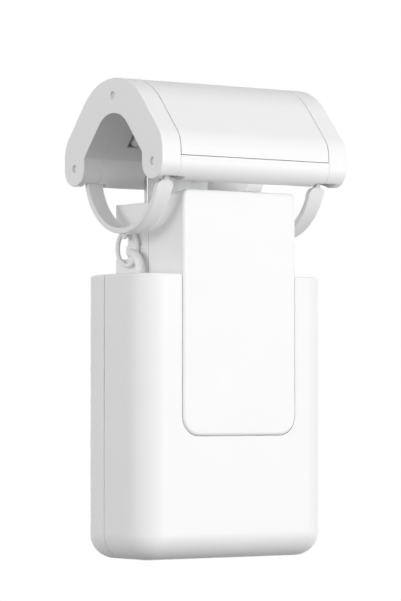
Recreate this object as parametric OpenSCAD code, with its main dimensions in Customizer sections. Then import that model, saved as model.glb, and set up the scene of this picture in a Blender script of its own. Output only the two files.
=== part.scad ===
// Hanging drive robot: a saddle with four rollers, two gates that close the channel, and a drive unit whose
// rubber wheel presses up into the channel.
// The origin is on the channel's axis at mid length. +X runs along the channel, the front faces -Y, +Z is up.

/* [Channel] */
// Diameter of the round bar that the channel takes
channel_d = 28; // [26:0.5:29]

/* [Saddle] */
// Length of the saddle along the channel
saddle_len = 87; // [86:0.5:90]
// Thickness of each end cap along the channel
cap_t = 8.5; // [8:0.25:9]
// Depth of the saddle from front to back
saddle_depth = 65.6; // [64:0.2:68]
// Height of the saddle's crown above the axis
saddle_top = 31.7; // [31:0.1:33]
// Thickness of the saddle's hollow wall
saddle_wall = 13.4; // [12.8:0.1:13.6]
// Radius of the saddle's crown
crown_r = 26; // [24:0.2:27]
// Elevation of the direction that the slanted flats face
flat_tilt = 40.5; // [39:0.5:43]
// Radius where the slanted flats turn into the sides
shoulder_r = 12; // [9:1:13]
// How far the legs reach below the axis
leg_drop = 8.1; // [7:0.1:9]
// Thickness of the top cover
cover_t = 2.4; // [2:0.2:2.8]
// Thickness of the frame's liner along the channel
liner_t = 3; // [2.4:0.2:3.4]
// Height of the seam between the cover and the frame
seam_z = 1.2; // [0.8:0.1:2]
// Width of the line left open at a seam
seam_gap = 0.3; // [0.2:0.05:0.4]
// Diameter of the screw heads in the end caps
cap_screw_d = 3; // [2.6:0.1:3.4]

/* [Rollers] */
// Diameter of each roller
roller_d = 11; // [10:0.5:11.5]
// Width of each roller
roller_w = 8; // [7:0.5:9]
// Distance of the rollers from mid length
roller_x = 20; // [18:0.5:21]
// Diameter of the roller axles
roller_axle_d = 2.5; // [2:0.1:3]
// Clearance around each roller
roller_gap = 0.6; // [0.4:0.1:0.8]

/* [Gates] */
// Distance of each gate from mid length
gate_x = 35.9; // [35.8:0.1:36.6]
// Width of the gate's band
gate_w = 7; // [6:0.2:7.2]
// Thickness of the gate's band
gate_t = 2.2; // [1.8:0.1:2.6]
// How far the gate's band lies inside its pins
gate_inset = 1.6; // [1.2:0.1:2]
// How far the gates hang below the axis
gate_drop = 27.2; // [26.4:0.2:28]
// Diameter of the gate pins
gate_pin_d = 3; // [2.6:0.1:3.2]
// Wall of the gate's eye around its pin
gate_eye_t = 1.7; // [1.4:0.1:1.9]
// Width of the slots that the gates sit in
gate_slot_w = 9.8; // [9:0.2:10.2]

/* [Spine] */
// Width of the spine plate
spine_w = 29; // [26:0.5:30]
// Thickness of the spine plate
spine_t = 2.4; // [2:0.1:2.6]
// Depth of the spine's seat in the rear leg
spine_inset = 1.3; // [1:0.1:1.6]
// How far the spine reaches below the axis
spine_drop = 112; // [108:1:116]
// Distance of the lift springs from mid length
spring_x = 12.2; // [11.9:0.1:12.3]
// Outside diameter of the lift springs
spring_d = 4.2; // [3.8:0.1:4.4]
// Thickness of the spring wire
spring_wire = 0.6; // [0.5:0.05:0.7]

/* [Drive] */
// Diameter of the tyre at its waist
tyre_d = 26; // [25:0.5:27]
// Width of the tyre
tyre_w = 14; // [13:0.5:15]
// Rise of the tyre's edges above its waist
tyre_rise = 1; // [0.6:0.1:1.2]
// Diameter of the wheel's hub under the tyre
hub_d = 19; // [18:0.5:20]
// Diameter of the wheel's axle
axle_d = 4; // [3.5:0.1:4.5]
// Outside diameter of the ball bearings
bearing_d = 9; // [8:0.5:10]
// Tooth size of the gears
gear_module = 0.8; // [0.75:0.05:0.85]
// Teeth of the wheel gear
wheel_teeth = 28; // [26:2:28]
// Teeth of the idler gear
idler_teeth = 24; // [22:2:26]
// Teeth of the motor pinion
pinion_teeth = 12; // [12:1:14]
// Width of the gears
gear_w = 3.6; // [3:0.2:4]
// Diameter of the idler's pin
idler_pin_d = 3; // [2.5:0.1:3.5]
// Diameter of the motor
motor_d = 20; // [18:0.5:22]
// Length of the motor
motor_len = 15; // [13:0.5:15.5]
// Diameter of the motor's shaft
motor_shaft_d = 2; // [1.6:0.1:2.4]

/* [Neck] */
// Width of the neck and of the strap
neck_w = 53; // [51:0.4:56]
// Height from the body to the underside of a bar in the channel
neck_h = 28.6; // [28:0.2:30]
// How far the neck's front lip stands above that underside
neck_lip = 2.4; // [1:0.2:2.4]
// Radius of the lip's corners
neck_corner_r = 3.5; // [2:0.5:5]
// Place of the seam between the neck's front and rear, behind the axis
neck_seam_y = 0.5; // [0:0.25:4]
// How far the neck's back stands behind the body's
neck_step = 1.7; // [1.2:0.1:2.5]
// How far the strap stands proud of the body
strap_proud = 0.7; // [0.4:0.1:1]
// Thickness of the strap
strap_t = 1.9; // [1.6:0.1:2.1]
// Length of the strap on the body
strap_len = 60.4; // [56:0.1:66]
// Radius of the strap's lower corners
strap_corner_r = 7.5; // [4:0.5:10]
// Gap around the strap
strap_gap = 0.45; // [0.3:0.05:0.6]

/* [Body] */
// Width of the body
body_w = 89; // [86:0.5:92]
// Height of the body
body_h = 107.8; // [105:0.1:115]
// How far the body's front lies ahead of the axis
body_front = 21.9; // [21:0.1:23]
// Wall of the shells
shell_t = 2.2; // [2:0.1:2.4]
// Radius of the lower corners, seen from the front, and width of the rounding at the front and rear edges
body_corner_r = 11.5; // [11:0.5:13]
// Depth of the rounding at the front edges
front_edge_r = 13; // [12:0.5:14]
// Depth of the rounding at the rear edges
rear_edge_r = 17; // [15:0.5:17.5]
// Radius of the top edge
top_edge_r = 1.5; // [1:0.1:2]
// Place of the seam between the shells, behind the axis
body_seam_y = 3.9; // [3.6:0.1:4.4]
// Diameter of the shell screws
shell_screw_d = 2.5; // [2:0.1:3]

/* [Shoulders] */
// Diameter of the tow hooks' wire
hook_d = 2.6; // [2.2:0.1:2.8]
// Distance of the tow hooks from mid length
hook_x = 30.8; // [30.7:0.05:31]
// Height of the hooks' arms above the body
hook_h = 9; // [8:0.5:10]
// Outside diameter of the tow rings
tow_ring_d = 15; // [13:0.5:16]
// Thickness of the tow rings' wire
tow_ring_wire = 1.6; // [1.4:0.1:1.8]
// Diameter of the pegs that carry the tow rings
peg_d = 1.8; // [1.5:0.1:2]

/* [Power] */
// Diameter of the battery cells
cell_d = 18.4; // [17:0.1:18.6]
// Length of the battery cells
cell_len = 65; // [60:0.5:65.2]
// Diameter of the setting button
button_d = 7; // [5:0.5:7.5]
// Travel of the setting button
button_travel = 0.6; // [0.4:0.1:0.8]

/* [Hidden] */
$fn = 72;

// Fits
fixed_fit = 0.04;
running_fit = 0.1;
slide_gap = 0.2;
open_gap = 0.5;
cut = 1;

// Saddle
side_len = saddle_len / 2;
seam_x = side_len - cap_t;
crown_z = saddle_top - crown_r;
// Keeps the flats a hair inside the arcs that they run into
tangent_gap = 0.004;
flat_dir = [cos(flat_tilt), sin(flat_tilt)];
flat_dist = crown_r + crown_z * sin(flat_tilt);
leg_r = saddle_wall / 2;
leg_y = saddle_depth / 2 - leg_r;
leg_z = leg_r - leg_drop;
channel_side = saddle_depth / 2 - saddle_wall;
screw_z = saddle_top - leg_r;
screw_shank_d = cap_screw_d * 0.6;
screw_head_h = 2;
screw_sink = 1;
socket_share = 0.65;
screw_len = 12;
screw_boss_w = cap_screw_d + 4;
screw_boss_len = screw_len - cap_t + 6;

// Rollers
bar_r = channel_d / 2;
roller_r = roller_d / 2;
roller_at = bar_r + roller_r;
cradle_wall = 3;
cradle_top = roller_at + roller_axle_d / 2 + 2;
roller_edge = 1;

// Gates: the band is an arc just inside both pins and through its lowest point
gate_rise = leg_z - gate_t / 2 + gate_drop;
gate_side = leg_y - gate_inset;
gate_mid_r = (gate_side * gate_side + gate_rise * gate_rise) / (2 * gate_rise);
gate_z = gate_mid_r + gate_t / 2 - gate_drop;
gate_eye_r = gate_pin_d / 2 + gate_eye_t;
gate_slot_half = gate_eye_r + open_gap;
gate_slot_top = leg_z + gate_eye_r + open_gap;
gate_pin_in = gate_x - gate_slot_w / 2 - 3.5;
gate_pin_out = side_len - 1.2;

// Spine and springs
spine_back = channel_side + spine_inset;
spine_front = spine_back - spine_t;
spine_top = leg_z + 2.5;
spine_edge = 6;
spine_screw_d = 2.5;
spine_screw_z = spine_top - 3.2;
spine_screw_head_d = 5;
spine_screw_head_h = 1.2;
spine_screw_len = 9;
foot_t = 2;
foot_side = max(spine_w / 2, spring_x + spring_d / 2 + 0.2);
spring_y = spine_front - 0.5 - spring_d / 2;
foot_front = spring_y - spring_d / 2 - 0.3;
spring_low = foot_t - spine_drop;
spring_stud_d = spring_d - 2 * spring_wire - 1;
spring_stud_h = 3;
spring_turns = 12;
turn_rings = 8;
wire_sides = 6;

// Body and neck
bar_low = -bar_r;
body_top = bar_low - neck_h;
body_low = body_top - body_h;
body_back = spine_back + slide_gap + shell_t;
neck_front = body_front + strap_proud;
neck_back = body_back + neck_step;
neck_side = neck_w / 2;
lip_z = bar_low + neck_lip;
neck_top = bar_low - 0.8;
lip_back = bar_r * 0.6;
lip_slope = 0.9;
strap_low = body_top - strap_len;
strap_floor = neck_front - strap_t - 0.1;
pad_t = 1.8;
pad_back = strap_floor - pad_t;
pad_side = 1.6;
notch_x = neck_side - 7;
notch_y = 13.6;
notch_low = neck_top - 21.2;
notch_high = neck_top - 9.2;
notch_wall = 2;
tongue_y = [4.4, 14.8];
tongue_z = [neck_top - 19.5, neck_top - 16.2];
tongue_proud = 0.6;
hull_fn = 32;
sharp_r = 0.3;

// Drive train
tyre_r = tyre_d / 2;
tyre_edge_r = tyre_r + tyre_rise;
wheel_gap = 0.7;
wheel_z = bar_low - tyre_r;
idler_z = wheel_z - gear_module * (wheel_teeth + idler_teeth) / 2;
pinion_z = idler_z - gear_module * (idler_teeth + pinion_teeth) / 2;
gear_back = -tyre_w / 2 - 1.2;
gear_front = gear_back - gear_w;
pressure_angle = 20;
addendum = 0.8 * gear_module;
dedendum = 1.05 * gear_module;
backlash = 0.16;
flank_steps = 4;
frame_t = 1.8;
plate_t = 2.5;
frame_side = tyre_edge_r + wheel_gap + frame_t;
frame_top = neck_top - shell_t;
frame_low = pinion_z - motor_d / 2 - 4;
front_plate_back = plate_t - pad_back;
rear_plate_front = tyre_w / 2 + 1.5;
rear_plate_back = rear_plate_front + plate_t;
web_t = 1.6;
axle_end_gap = 0.4;
pin_end_gap = 0.2;
pin_head_h = 0.6;
pin_head_d = idler_pin_d + 2;
pinion_hub_d = motor_shaft_d + 3;
pinion_hub_h = 1;
shaft_proud = 0.3;
hub_rim = 2;
hub_sink = 3;
hub_boss = 3;
gear_holes = 6;
gear_hole_at = 0.29;
gear_hole_d = gear_module * 4.5;
motor_front = -5;
motor_nose_d = 6;
motor_nose_len = 1.8;
motor_boss_d = motor_d * 0.4;
motor_boss_h = 0.5;
motor_flat = 0.6;
motor_flat_end = 3;
shaft_depth = 3;
web_high = pinion_z + motor_d / 2 + 2;
rail_low = body_top + 0.4;
rail_back = neck_back - shell_t - slide_gap;
rail_grip = 2;
lug_high = body_top - 1.3;
lug_low = lug_high - plate_t;
lug_w = spring_d + 2;
stop_t = 1.2;
stop_reach = 3;
stop_side = spine_w / 2 - rail_grip - open_gap;
stop_w = 6;
frame_screw_x = 11;
frame_screws_z = [idler_z - 4, frame_low + 4];
frame_screw_d = 2;
frame_screw_head_d = 4;
frame_screw_head_h = 1;

// Shoulders
deck_side = frame_side + 1;
hook_y = 0.5;
hook_reach = 6.7;
hook_bend_r = 3.5;
tow_ring_x = neck_side + 1.8;
tow_ring_y = 12;
tow_ring_r = (tow_ring_d - tow_ring_wire) / 2;
peg_z = neck_top - 12.2;
tow_ring_z = peg_z + peg_d / 2 + running_fit / 2 - (tow_ring_r - tow_ring_wire / 2);
peg_head_d = peg_d + 1.4;
peg_head_h = 0.8;

// Power and controls
cell_gap = 0.2;
cell_step = cell_d + 1.6;
cell_front_gap = 2.4;
cell_drop = 10.4;
cell_tip_d = 6;
cell_tip_h = 1.2;
cell_y = cell_front_gap + cell_d / 2 - pad_back;
cells_z = [frame_low - cell_drop - cell_d / 2, frame_low - cell_drop - cell_d / 2 - cell_step];
tray_side = cell_len / 2 + 1;
tray_window = tray_side - 7.5;
tray_wall = 1;
tray_back_t = 1.5;
tray_gap = 0.3;
tray_back = cell_y + cell_d / 2 + cell_gap + tray_back_t;
tray_high = cells_z[0] + cell_d / 2 + cell_gap + tray_wall;
tray_low = cells_z[1] - cell_d / 2 - cell_gap - tray_wall;
board_t = 1.6;
// Chips: place across the board, height above the tray's foot, width, thickness
board_chips = [[0, 0, 12, 1], [15.5, 2, 7, 0.9], [-17, 18, 8, 1.2]];
board_side = 25;
board_high = tray_high + 1.5;
floor_z = body_low + shell_t;
board_low = floor_z + 3.2;
port_x = -12;
port_w = 8.9;
port_d = 3.2;
port_h = 7.2;
port_wall = 0.35;
port_gap = 0.3;
io_step = 2.6;
io_y = tray_back - io_step - port_d / 2;
button_x = 12;
button_sink = 0.1;
button_gap = 0.2;
button_flange_d = button_d + 2;
button_flange_h = 1;
button_stem_d = 3;
switch_w = 6;
switch_h = 3.2;
switch_plunger_h = 0.7;
switch_z = floor_z + 4.2;
stem_top = switch_z - switch_plunger_h - button_travel - 0.1;
light_d = 2.4;
light_top = floor_z + 3.4;
light_flange_d = 3.6;
screw_post_x = body_w / 2 - body_corner_r - 3.5;
screw_posts_z = [body_top - 13.8, body_low + body_corner_r + 4];
screw_post_d = 6.5;
shell_head_d = 5;
shell_head_h = 2;
shell_head_sink = 0.5;
shell_head_gap = 0.15;
cross_len = shell_head_d * 0.3;
cross_half = 0.4;
shell_screw_tip = -2;

white = [0.94, 0.94, 0.93];
off_white = [0.90, 0.90, 0.89];
steel = [0.72, 0.73, 0.75];
dark = [0.16, 0.16, 0.17];
grey = [0.55, 0.56, 0.58];
green = [0.10, 0.35, 0.22];
blue = [0.20, 0.40, 0.66];
clear = [0.80, 0.84, 0.86];

// Helpers: boxes by corners, outlines extruded along X or Y, and round bars along X or Y
module box(low, high) {
    translate(low) cube(high - low);
}

module along_x(x0, x1) {
    translate([x0, 0, 0]) rotate([90, 0, 90]) linear_extrude(x1 - x0) children();
}

module along_y(y0, y1) {
    translate([0, y1, 0]) rotate([90, 0, 0]) linear_extrude(y1 - y0) children();
}

module bar_x(d, x0, x1) {
    translate([x0, 0, 0]) rotate([0, 90, 0]) cylinder(d = d, h = x1 - x0);
}

module bar_y(d, y0, y1) {
    translate([0, y1, 0]) rotate([90, 0, 0]) cylinder(d = d, h = y1 - y0);
}

// Saddle outline, moved inward by inset
function side_at(inset) = saddle_depth / 2 - inset;
function shoulder_r_at(inset) = max(shoulder_r - inset, 0);
function shoulder_y_at(inset) = side_at(inset) - shoulder_r_at(inset);
function shoulder_z_at(inset) =
    (flat_dist - inset - shoulder_r_at(inset) - shoulder_y_at(inset) * flat_dir[0]) / flat_dir[1];

module above(z) {
    translate([-saddle_depth, z]) square([2 * saddle_depth, 2 * saddle_depth]);
}

module saddle_outline(inset, low) {
    r = shoulder_r_at(inset);
    centre = [shoulder_y_at(inset), shoulder_z_at(inset)];
    crown = [0, crown_z] + (crown_r - inset - tangent_gap) * flat_dir;
    shoulder = r > 0 ? [centre + (r - tangent_gap) * flat_dir] : [];
    right = concat([[side_at(inset), low], [side_at(inset), centre[1]]], shoulder, [crown]);
    last = len(right) - 1;
    polygon(concat(right, [for (k = [last:-1:0]) [-right[k][0], right[k][1]]]));
    intersection() {
        translate([0, crown_z]) circle(crown_r - inset);
        above(crown_z);
    }
    if (r > 0) intersection() {
        for (side = [-1, 1]) translate([side * centre[0], centre[1]]) circle(r);
        above(centre[1]);
    }
}

module saddle_block() {
    saddle_outline(0, leg_z);
    for (side = [-1, 1]) translate([side * leg_y, leg_z]) circle(leg_r);
}

module channel_outline() {
    saddle_outline(saddle_wall, -2 * saddle_depth);
}

// Slots for the gates: open below at the front leg, open below and behind at the rear leg
module gate_slot(x) {
    x0 = x - gate_slot_w / 2;
    x1 = x + gate_slot_w / 2;
    box([x0, -leg_y - gate_slot_half, -saddle_depth], [x1, -leg_y + gate_slot_half, gate_slot_top]);
    box([x0, leg_y - gate_slot_half, -saddle_depth], [x1, saddle_depth / 2 + cut, gate_slot_top]);
}

module at_gate_pins() {
    for (side = [-1, 1]) translate([0, side * leg_y, leg_z]) children();
}

// Local frame of one roller: X along the channel, Y along the roller's axle, Z outwards from the axis
module at_roller(side, face) {
    translate([side * roller_x, 0, 0]) rotate([-face * (90 - flat_tilt), 0, 0]) children();
}

module at_rollers() {
    for (side = [-1, 1], face = [-1, 1]) at_roller(side, face) children();
}

module saddle_frame() {
    axle_half = roller_w / 2 + roller_gap + cradle_wall;
    cradle_half = roller_r + roller_gap + 2;
    color(white) difference() {
        union() {
            along_x(-seam_x, seam_x) difference() {
                union() {
                    difference() {
                        saddle_block();
                        above(seam_z);
                    }
                    saddle_outline(saddle_wall - liner_t, leg_z);
                }
                channel_outline();
            }
            at_rollers() box([-cradle_half, -axle_half, flat_dist - saddle_wall],
                             [cradle_half, axle_half, cradle_top]);
            for (side = [-1, 1]) translate([side * (seam_x - screw_boss_len / 2), 0, screw_z])
                cube([screw_boss_len, screw_boss_w, screw_boss_w], center = true);
            for (side = [-1, 1]) translate([side * (seam_x - screw_boss_len / 2), 0, screw_z - leg_r + liner_t / 2])
                cube([screw_boss_len, screw_boss_w, 2 * (leg_r - liner_t)], center = true);
        }
        at_rollers() box([-roller_r - roller_gap, -roller_w / 2 - roller_gap, bar_r - cut],
                         [roller_r + roller_gap, roller_w / 2 + roller_gap, cradle_top + cut]);
        at_rollers() translate([0, 0, roller_at])
            bar_y(roller_axle_d + fixed_fit, -axle_half - cut, axle_half + cut);
        for (side = [-1, 1]) gate_slot(side * gate_x);
        at_gate_pins() bar_x(gate_pin_d + fixed_fit, -seam_x - cut, -gate_pin_in);
        at_gate_pins() bar_x(gate_pin_d + fixed_fit, gate_pin_in, seam_x + cut);
        translate([0, 0, screw_z]) bar_x(screw_shank_d + fixed_fit, seam_x - screw_len, seam_x + cut);
        translate([0, 0, screw_z]) bar_x(screw_shank_d + fixed_fit, -seam_x - cut, screw_len - seam_x);
        box([-spine_w / 2 - fixed_fit, 0, -saddle_depth],
            [spine_w / 2 + fixed_fit, spine_back, spine_top + fixed_fit]);
        at_spine_screws() bar_y(spine_screw_d + fixed_fit, 0, spine_screw_len + cut);
    }
}

module saddle_cover() {
    color(white) along_x(seam_gap - seam_x, seam_x - seam_gap) difference() {
        intersection() {
            saddle_outline(0, leg_z);
            above(seam_z + seam_gap);
        }
        saddle_outline(cover_t, leg_z - cut);
    }
}

module end_cap(side) {
    color(white) difference() {
        along_x(side < 0 ? -side_len : seam_x, side < 0 ? -seam_x : side_len) difference() {
            saddle_block();
            channel_outline();
        }
        gate_slot(side * gate_x);
        at_gate_pins() bar_x(gate_pin_d + fixed_fit, -side_len - cut, side_len + cut);
        translate([0, 0, screw_z]) {
            bar_x(screw_shank_d + fixed_fit, -side_len - cut, side_len + cut);
            bar_x(cap_screw_d + fixed_fit, -side_len - cut, screw_sink + screw_head_h - side_len);
            bar_x(cap_screw_d + fixed_fit, side_len - screw_sink - screw_head_h, side_len + cut);
        }
    }
}

module left_end_cap() {
    end_cap(-1);
}

module right_end_cap() {
    end_cap(1);
}

module cap_screws() {
    head = side_len - screw_sink;
    color(steel) for (side = [0, 1]) mirror([side, 0, 0]) translate([0, 0, screw_z]) difference() {
        union() {
            bar_x(cap_screw_d, head - screw_head_h, head);
            bar_x(screw_shank_d, head - screw_len, head);
        }
        translate([head - screw_head_h / 2, 0, 0]) rotate([0, 90, 0])
            cylinder(d = cap_screw_d * socket_share, h = screw_head_h, $fn = 6);
    }
}

module gate_pins() {
    color(steel) at_gate_pins() {
        bar_x(gate_pin_d, gate_pin_in, gate_pin_out);
        bar_x(gate_pin_d, -gate_pin_out, -gate_pin_in);
    }
}

module roller_axles() {
    half = roller_w / 2 + roller_gap + cradle_wall;
    color(steel) at_rollers() translate([0, 0, roller_at]) bar_y(roller_axle_d, -half, half);
}

module at_spine_screws() {
    for (side = [-1, 1]) translate([side * spine_w / 4, spine_front, spine_screw_z]) children();
}

module spine_screws() {
    color(steel) at_spine_screws() difference() {
        union() {
            rotate([-90, 0, 0]) cylinder(d1 = spine_screw_head_d, d2 = spine_screw_d, h = spine_screw_head_h);
            bar_y(spine_screw_d, 0, spine_screw_len);
        }
        translate([0, spine_screw_head_h / 2, 0]) rotate([90, 0, 0])
            cylinder(d = spine_screw_d * socket_share, h = spine_screw_head_h, $fn = 6);
    }
}

module spine() {
    foot_top = foot_t - spine_drop;
    slot_half = spine_w / 2 - spine_edge;
    slot_low = foot_top + 2 * spine_edge;
    slot_high = lug_low - 2 * spine_edge;
    color(steel) difference() {
        union() {
            box([-spine_w / 2, spine_front, -spine_drop], [spine_w / 2, spine_back, spine_top]);
            box([-foot_side, foot_front, -spine_drop], [foot_side, spine_back, foot_top]);
            for (side = [0, 1]) mirror([side, 0, 0])
                box([stop_side - stop_w, spine_front - stop_reach, lug_high + slide_gap],
                    [stop_side, spine_back, lug_high + slide_gap + stop_t]);
            for (side = [-1, 1]) translate([side * spring_x, spring_y, foot_top - foot_t / 2])
                cylinder(d = spring_stud_d, h = foot_t / 2 + spring_stud_h);
        }
        at_spine_screws() {
            translate([0, -fixed_fit / 2, 0]) rotate([-90, 0, 0])
                cylinder(d1 = spine_screw_head_d + fixed_fit, d2 = spine_screw_d + fixed_fit,
                         h = spine_screw_head_h);
            bar_y(spine_screw_d + fixed_fit, -cut, spine_t + cut);
        }
        along_y(spine_front - cut, spine_back + cut) {
            translate([-slot_half, slot_low]) square([2 * slot_half, slot_high - slot_low]);
            for (z = [slot_low, slot_high]) translate([0, z]) circle(slot_half);
        }
    }
}

// Lift springs: one unbroken tube each, swept along a helix
spring_high = lug_low;
spring_len = spring_high - spring_low - spring_wire;
spring_mid_r = (spring_d - spring_wire) / 2;
spring_steps = spring_turns * turn_rings;
echo(least_gap_between_turns = spring_len / spring_turns - spring_wire);

function spring_ring(k) =
    let (turn = 360 * k / turn_rings)
    let (out = [cos(turn), sin(turn), 0])
    let (middle = spring_mid_r * out + [0, 0, spring_wire / 2 + spring_len * k / spring_steps])
    [for (s = [0:wire_sides - 1])
        middle + spring_wire / 2 * (cos(360 * s / wire_sides) * out + [0, 0, sin(360 * s / wire_sides)])];

module lift_spring() {
    points = [for (k = [0:spring_steps]) each spring_ring(k)];
    walls = [for (k = [0:spring_steps - 1], s = [0:wire_sides - 1])
        let (a = k * wire_sides + s)
        let (b = k * wire_sides + (s + 1) % wire_sides)
        each [[a, b, b + wire_sides], [a, b + wire_sides, a + wire_sides]]];
    first = [for (s = [1:wire_sides - 2]) [0, s + 1, s]];
    end = spring_steps * wire_sides;
    last = [for (s = [1:wire_sides - 2]) [end, end + s, end + s + 1]];
    polyhedron(points, concat(walls, first, last));
}

module lift_springs() {
    color(steel) for (side = [-1, 1]) translate([side * spring_x, spring_y, spring_low]) lift_spring();
}

module roller(side, face) {
    half = roller_w / 2;
    color(grey) at_roller(side, face) translate([0, 0, roller_at]) rotate([90, 0, 0]) rotate_extrude()
        polygon([[(roller_axle_d + running_fit) / 2, -half], [roller_r - roller_edge, -half],
                 [roller_r, roller_edge - half], [roller_r, half - roller_edge],
                 [roller_r - roller_edge, half], [(roller_axle_d + running_fit) / 2, half]]);
}

module front_left_roller() {
    roller(-1, -1);
}

module front_right_roller() {
    roller(1, -1);
}

module rear_left_roller() {
    roller(-1, 1);
}

module rear_right_roller() {
    roller(1, 1);
}

// Gate: an eye on the rear pin, the band below the channel, and a cradle under the front pin
module gate(side) {
    x0 = side * gate_x - gate_w / 2;
    color(off_white) along_x(x0, x0 + gate_w) difference() {
        union() {
            difference() {
                translate([0, gate_z]) circle(gate_mid_r + gate_t / 2);
                translate([0, gate_z]) circle(gate_mid_r - gate_t / 2);
                above(leg_z);
            }
            for (end = [-1, 1]) translate([end * leg_y, leg_z]) circle(gate_eye_r);
        }
        translate([leg_y, leg_z]) circle((gate_pin_d + running_fit) / 2);
        translate([-leg_y, leg_z]) circle(gate_pin_d / 2 + slide_gap);
        translate([-leg_y - gate_eye_r - cut, leg_z])
            square([2 * gate_eye_r + 2 * cut, 2 * gate_eye_r]);
    }
}

module left_gate() {
    gate(-1);
}

module right_gate() {
    gate(1);
}

// Body form, moved inward by inset: deep rounding at the front and rear, rounded lower corners
module edge_ring(r, outer) {
    rotate_extrude($fn = hull_fn) intersection() {
        translate([outer - r, 0]) circle(r, $fn = hull_fn);
        translate([0, -r]) square([outer, 2 * r]);
    }
}

module body_form(inset) {
    corner = body_corner_r - inset;
    top_r = max(top_edge_r - inset, sharp_r);
    // Front and rear: place of the rounding, and its depth as a share of its width
    ends = [[front_edge_r - body_front, (front_edge_r - inset) / corner],
            [body_back - rear_edge_r, (rear_edge_r - inset) / corner]];
    hull() for (x = [-1, 1], end = ends)
        translate([x * (body_w / 2 - body_corner_r), end[0], 0]) scale([1, end[1], 1]) {
            translate([0, 0, body_low + body_corner_r]) rotate([90, 0, 0]) edge_ring(corner, corner);
            translate([0, 0, body_top - inset - top_r]) edge_ring(top_r, corner);
        }
}

// Body seen from above, moved inward by inset
module body_plan(inset) {
    side = body_w / 2 - inset;
    front_r = front_edge_r - inset;
    rear_r = rear_edge_r - inset;
    front_y = front_edge_r - body_front;
    rear_y = body_back - rear_edge_r;
    translate([-side, front_y]) square([2 * side, rear_y - front_y]);
    translate([front_r - side, front_y - front_r]) square([2 * (side - front_r), front_r + cut]);
    translate([rear_r - side, rear_y - cut]) square([2 * (side - rear_r), rear_r + cut]);
    for (x = [-1, 1]) {
        translate([x * (side - front_r), front_y]) circle(front_r);
        translate([x * (side - rear_r), rear_y]) circle(rear_r);
    }
}

module strap_outline(grow) {
    r = strap_corner_r + grow;
    side = neck_side + grow;
    low = strap_low - grow;
    translate([-side, low + r]) square([2 * side, body_top + cut - low - r]);
    translate([-side + r, low]) square([2 * side - 2 * r, r + cut]);
    for (x = [-1, 1]) translate([x * (side - r), low + r]) circle(r);
}

module at_shell_screws() {
    for (side = [-1, 1], z = screw_posts_z) translate([side * screw_post_x, 0, z]) children();
}

module at_frame_screws() {
    for (side = [-1, 1], z = frame_screws_z) translate([side * frame_screw_x, -strap_floor, z]) children();
}

module front_shell() {
    far = body_w;
    color(white) difference() {
        union() {
            intersection() {
                difference() {
                    body_form(0);
                    body_form(shell_t);
                }
                box([-far, -far, body_low - cut], [far, body_seam_y, body_top + cut]);
            }
            box([-neck_side - pad_side, -strap_floor - pad_t / 2, strap_low - pad_side],
                [neck_side + pad_side, -pad_back, body_top - shell_t / 2]);
            at_shell_screws() bar_y(screw_post_d, shell_t / 2 - body_front, body_seam_y);
        }
        along_y(-far, -strap_floor) strap_outline(strap_gap);
        box([-deck_side, -pad_back, body_top - shell_t - cut], [deck_side, far, body_top + cut]);
        at_shell_screws() bar_y(shell_screw_d + fixed_fit, shell_screw_tip - cut, body_seam_y + cut);
        at_frame_screws() frame_screw(fixed_fit);
        translate([port_x, io_y, body_low - cut]) port_outline(port_gap, shell_t + 2 * cut);
        translate([button_x, io_y, body_low - cut]) cylinder(d = button_d + 2 * button_gap, h = shell_t + 2 * cut);
        translate([0, io_y, body_low - cut]) cylinder(d = light_d + fixed_fit, h = shell_t + 2 * cut);
        at_hook_feet() translate([0, 0, -shell_t - cut]) cylinder(d = hook_d + fixed_fit, h = shell_t + 2 * cut);
    }
}

module rear_shell() {
    far = body_w;
    sink = body_back - shell_head_sink - shell_head_h;
    color(white) difference() {
        union() {
            intersection() {
                difference() {
                    body_form(0);
                    body_form(shell_t);
                }
                box([-far, body_seam_y + seam_gap, body_low - cut], [far, far, body_top + cut]);
            }
            at_shell_screws() bar_y(screw_post_d + 0.5, body_seam_y + seam_gap, body_back - shell_t / 2);
        }
        box([-deck_side, 0, body_top - shell_t - cut],
            [deck_side, body_back - shell_t, body_top + cut]);
        at_shell_screws() bar_y(shell_screw_d + fixed_fit, 0, body_back + cut);
        at_shell_screws() bar_y(shell_head_d + 2 * shell_head_gap, sink, body_back + cut);
    }
}

module shell_screws() {
    back = body_back - shell_head_sink;
    head = back - shell_head_h;
    color(steel) at_shell_screws() difference() {
        union() {
            bar_y(shell_head_d, head, back);
            bar_y(shell_screw_d, shell_screw_tip, head + cut);
        }
        for (turn = [0, 90]) rotate([0, turn, 0])
            box([-cross_len, back - shell_head_h / 2, -cross_half], [cross_len, back + cut, cross_half]);
    }
}

// Neck: front cover with its strap, and the rear shell behind the seam
module lip_profile(inset) {
    front = inset - neck_front;
    polygon([[front, body_top - cut * sign(inset)], [front, lip_z - inset], [-lip_back, lip_z - inset],
             [lip_slope - lip_back, neck_top - inset], [neck_seam_y + cut * sign(inset), neck_top - inset],
             [neck_seam_y + cut * sign(inset), body_top - cut * sign(inset)]]);
}

module lip_front_outline() {
    r = neck_corner_r;
    translate([-neck_side, strap_low - cut]) square([2 * neck_side, lip_z - r - strap_low + cut]);
    translate([r - neck_side, strap_low]) square([2 * (neck_side - r), lip_z - strap_low]);
    for (x = [-1, 1]) translate([x * (neck_side - r), lip_z - r]) circle(r);
}

module front_cover() {
    inner = neck_side - shell_t;
    color(white) {
        difference() {
            intersection() {
                along_x(-neck_side, neck_side) lip_profile(0);
                along_y(-2 * neck_front, 2 * neck_front) lip_front_outline();
            }
            along_x(-inner, inner) lip_profile(shell_t);
            tyre_window();
        }
        along_y(-neck_front, strap_t - neck_front) intersection() {
            strap_outline(0);
            translate([-neck_w, strap_low - cut]) square([2 * neck_w, strap_len + cut + shell_t / 2]);
        }
    }
}

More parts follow.
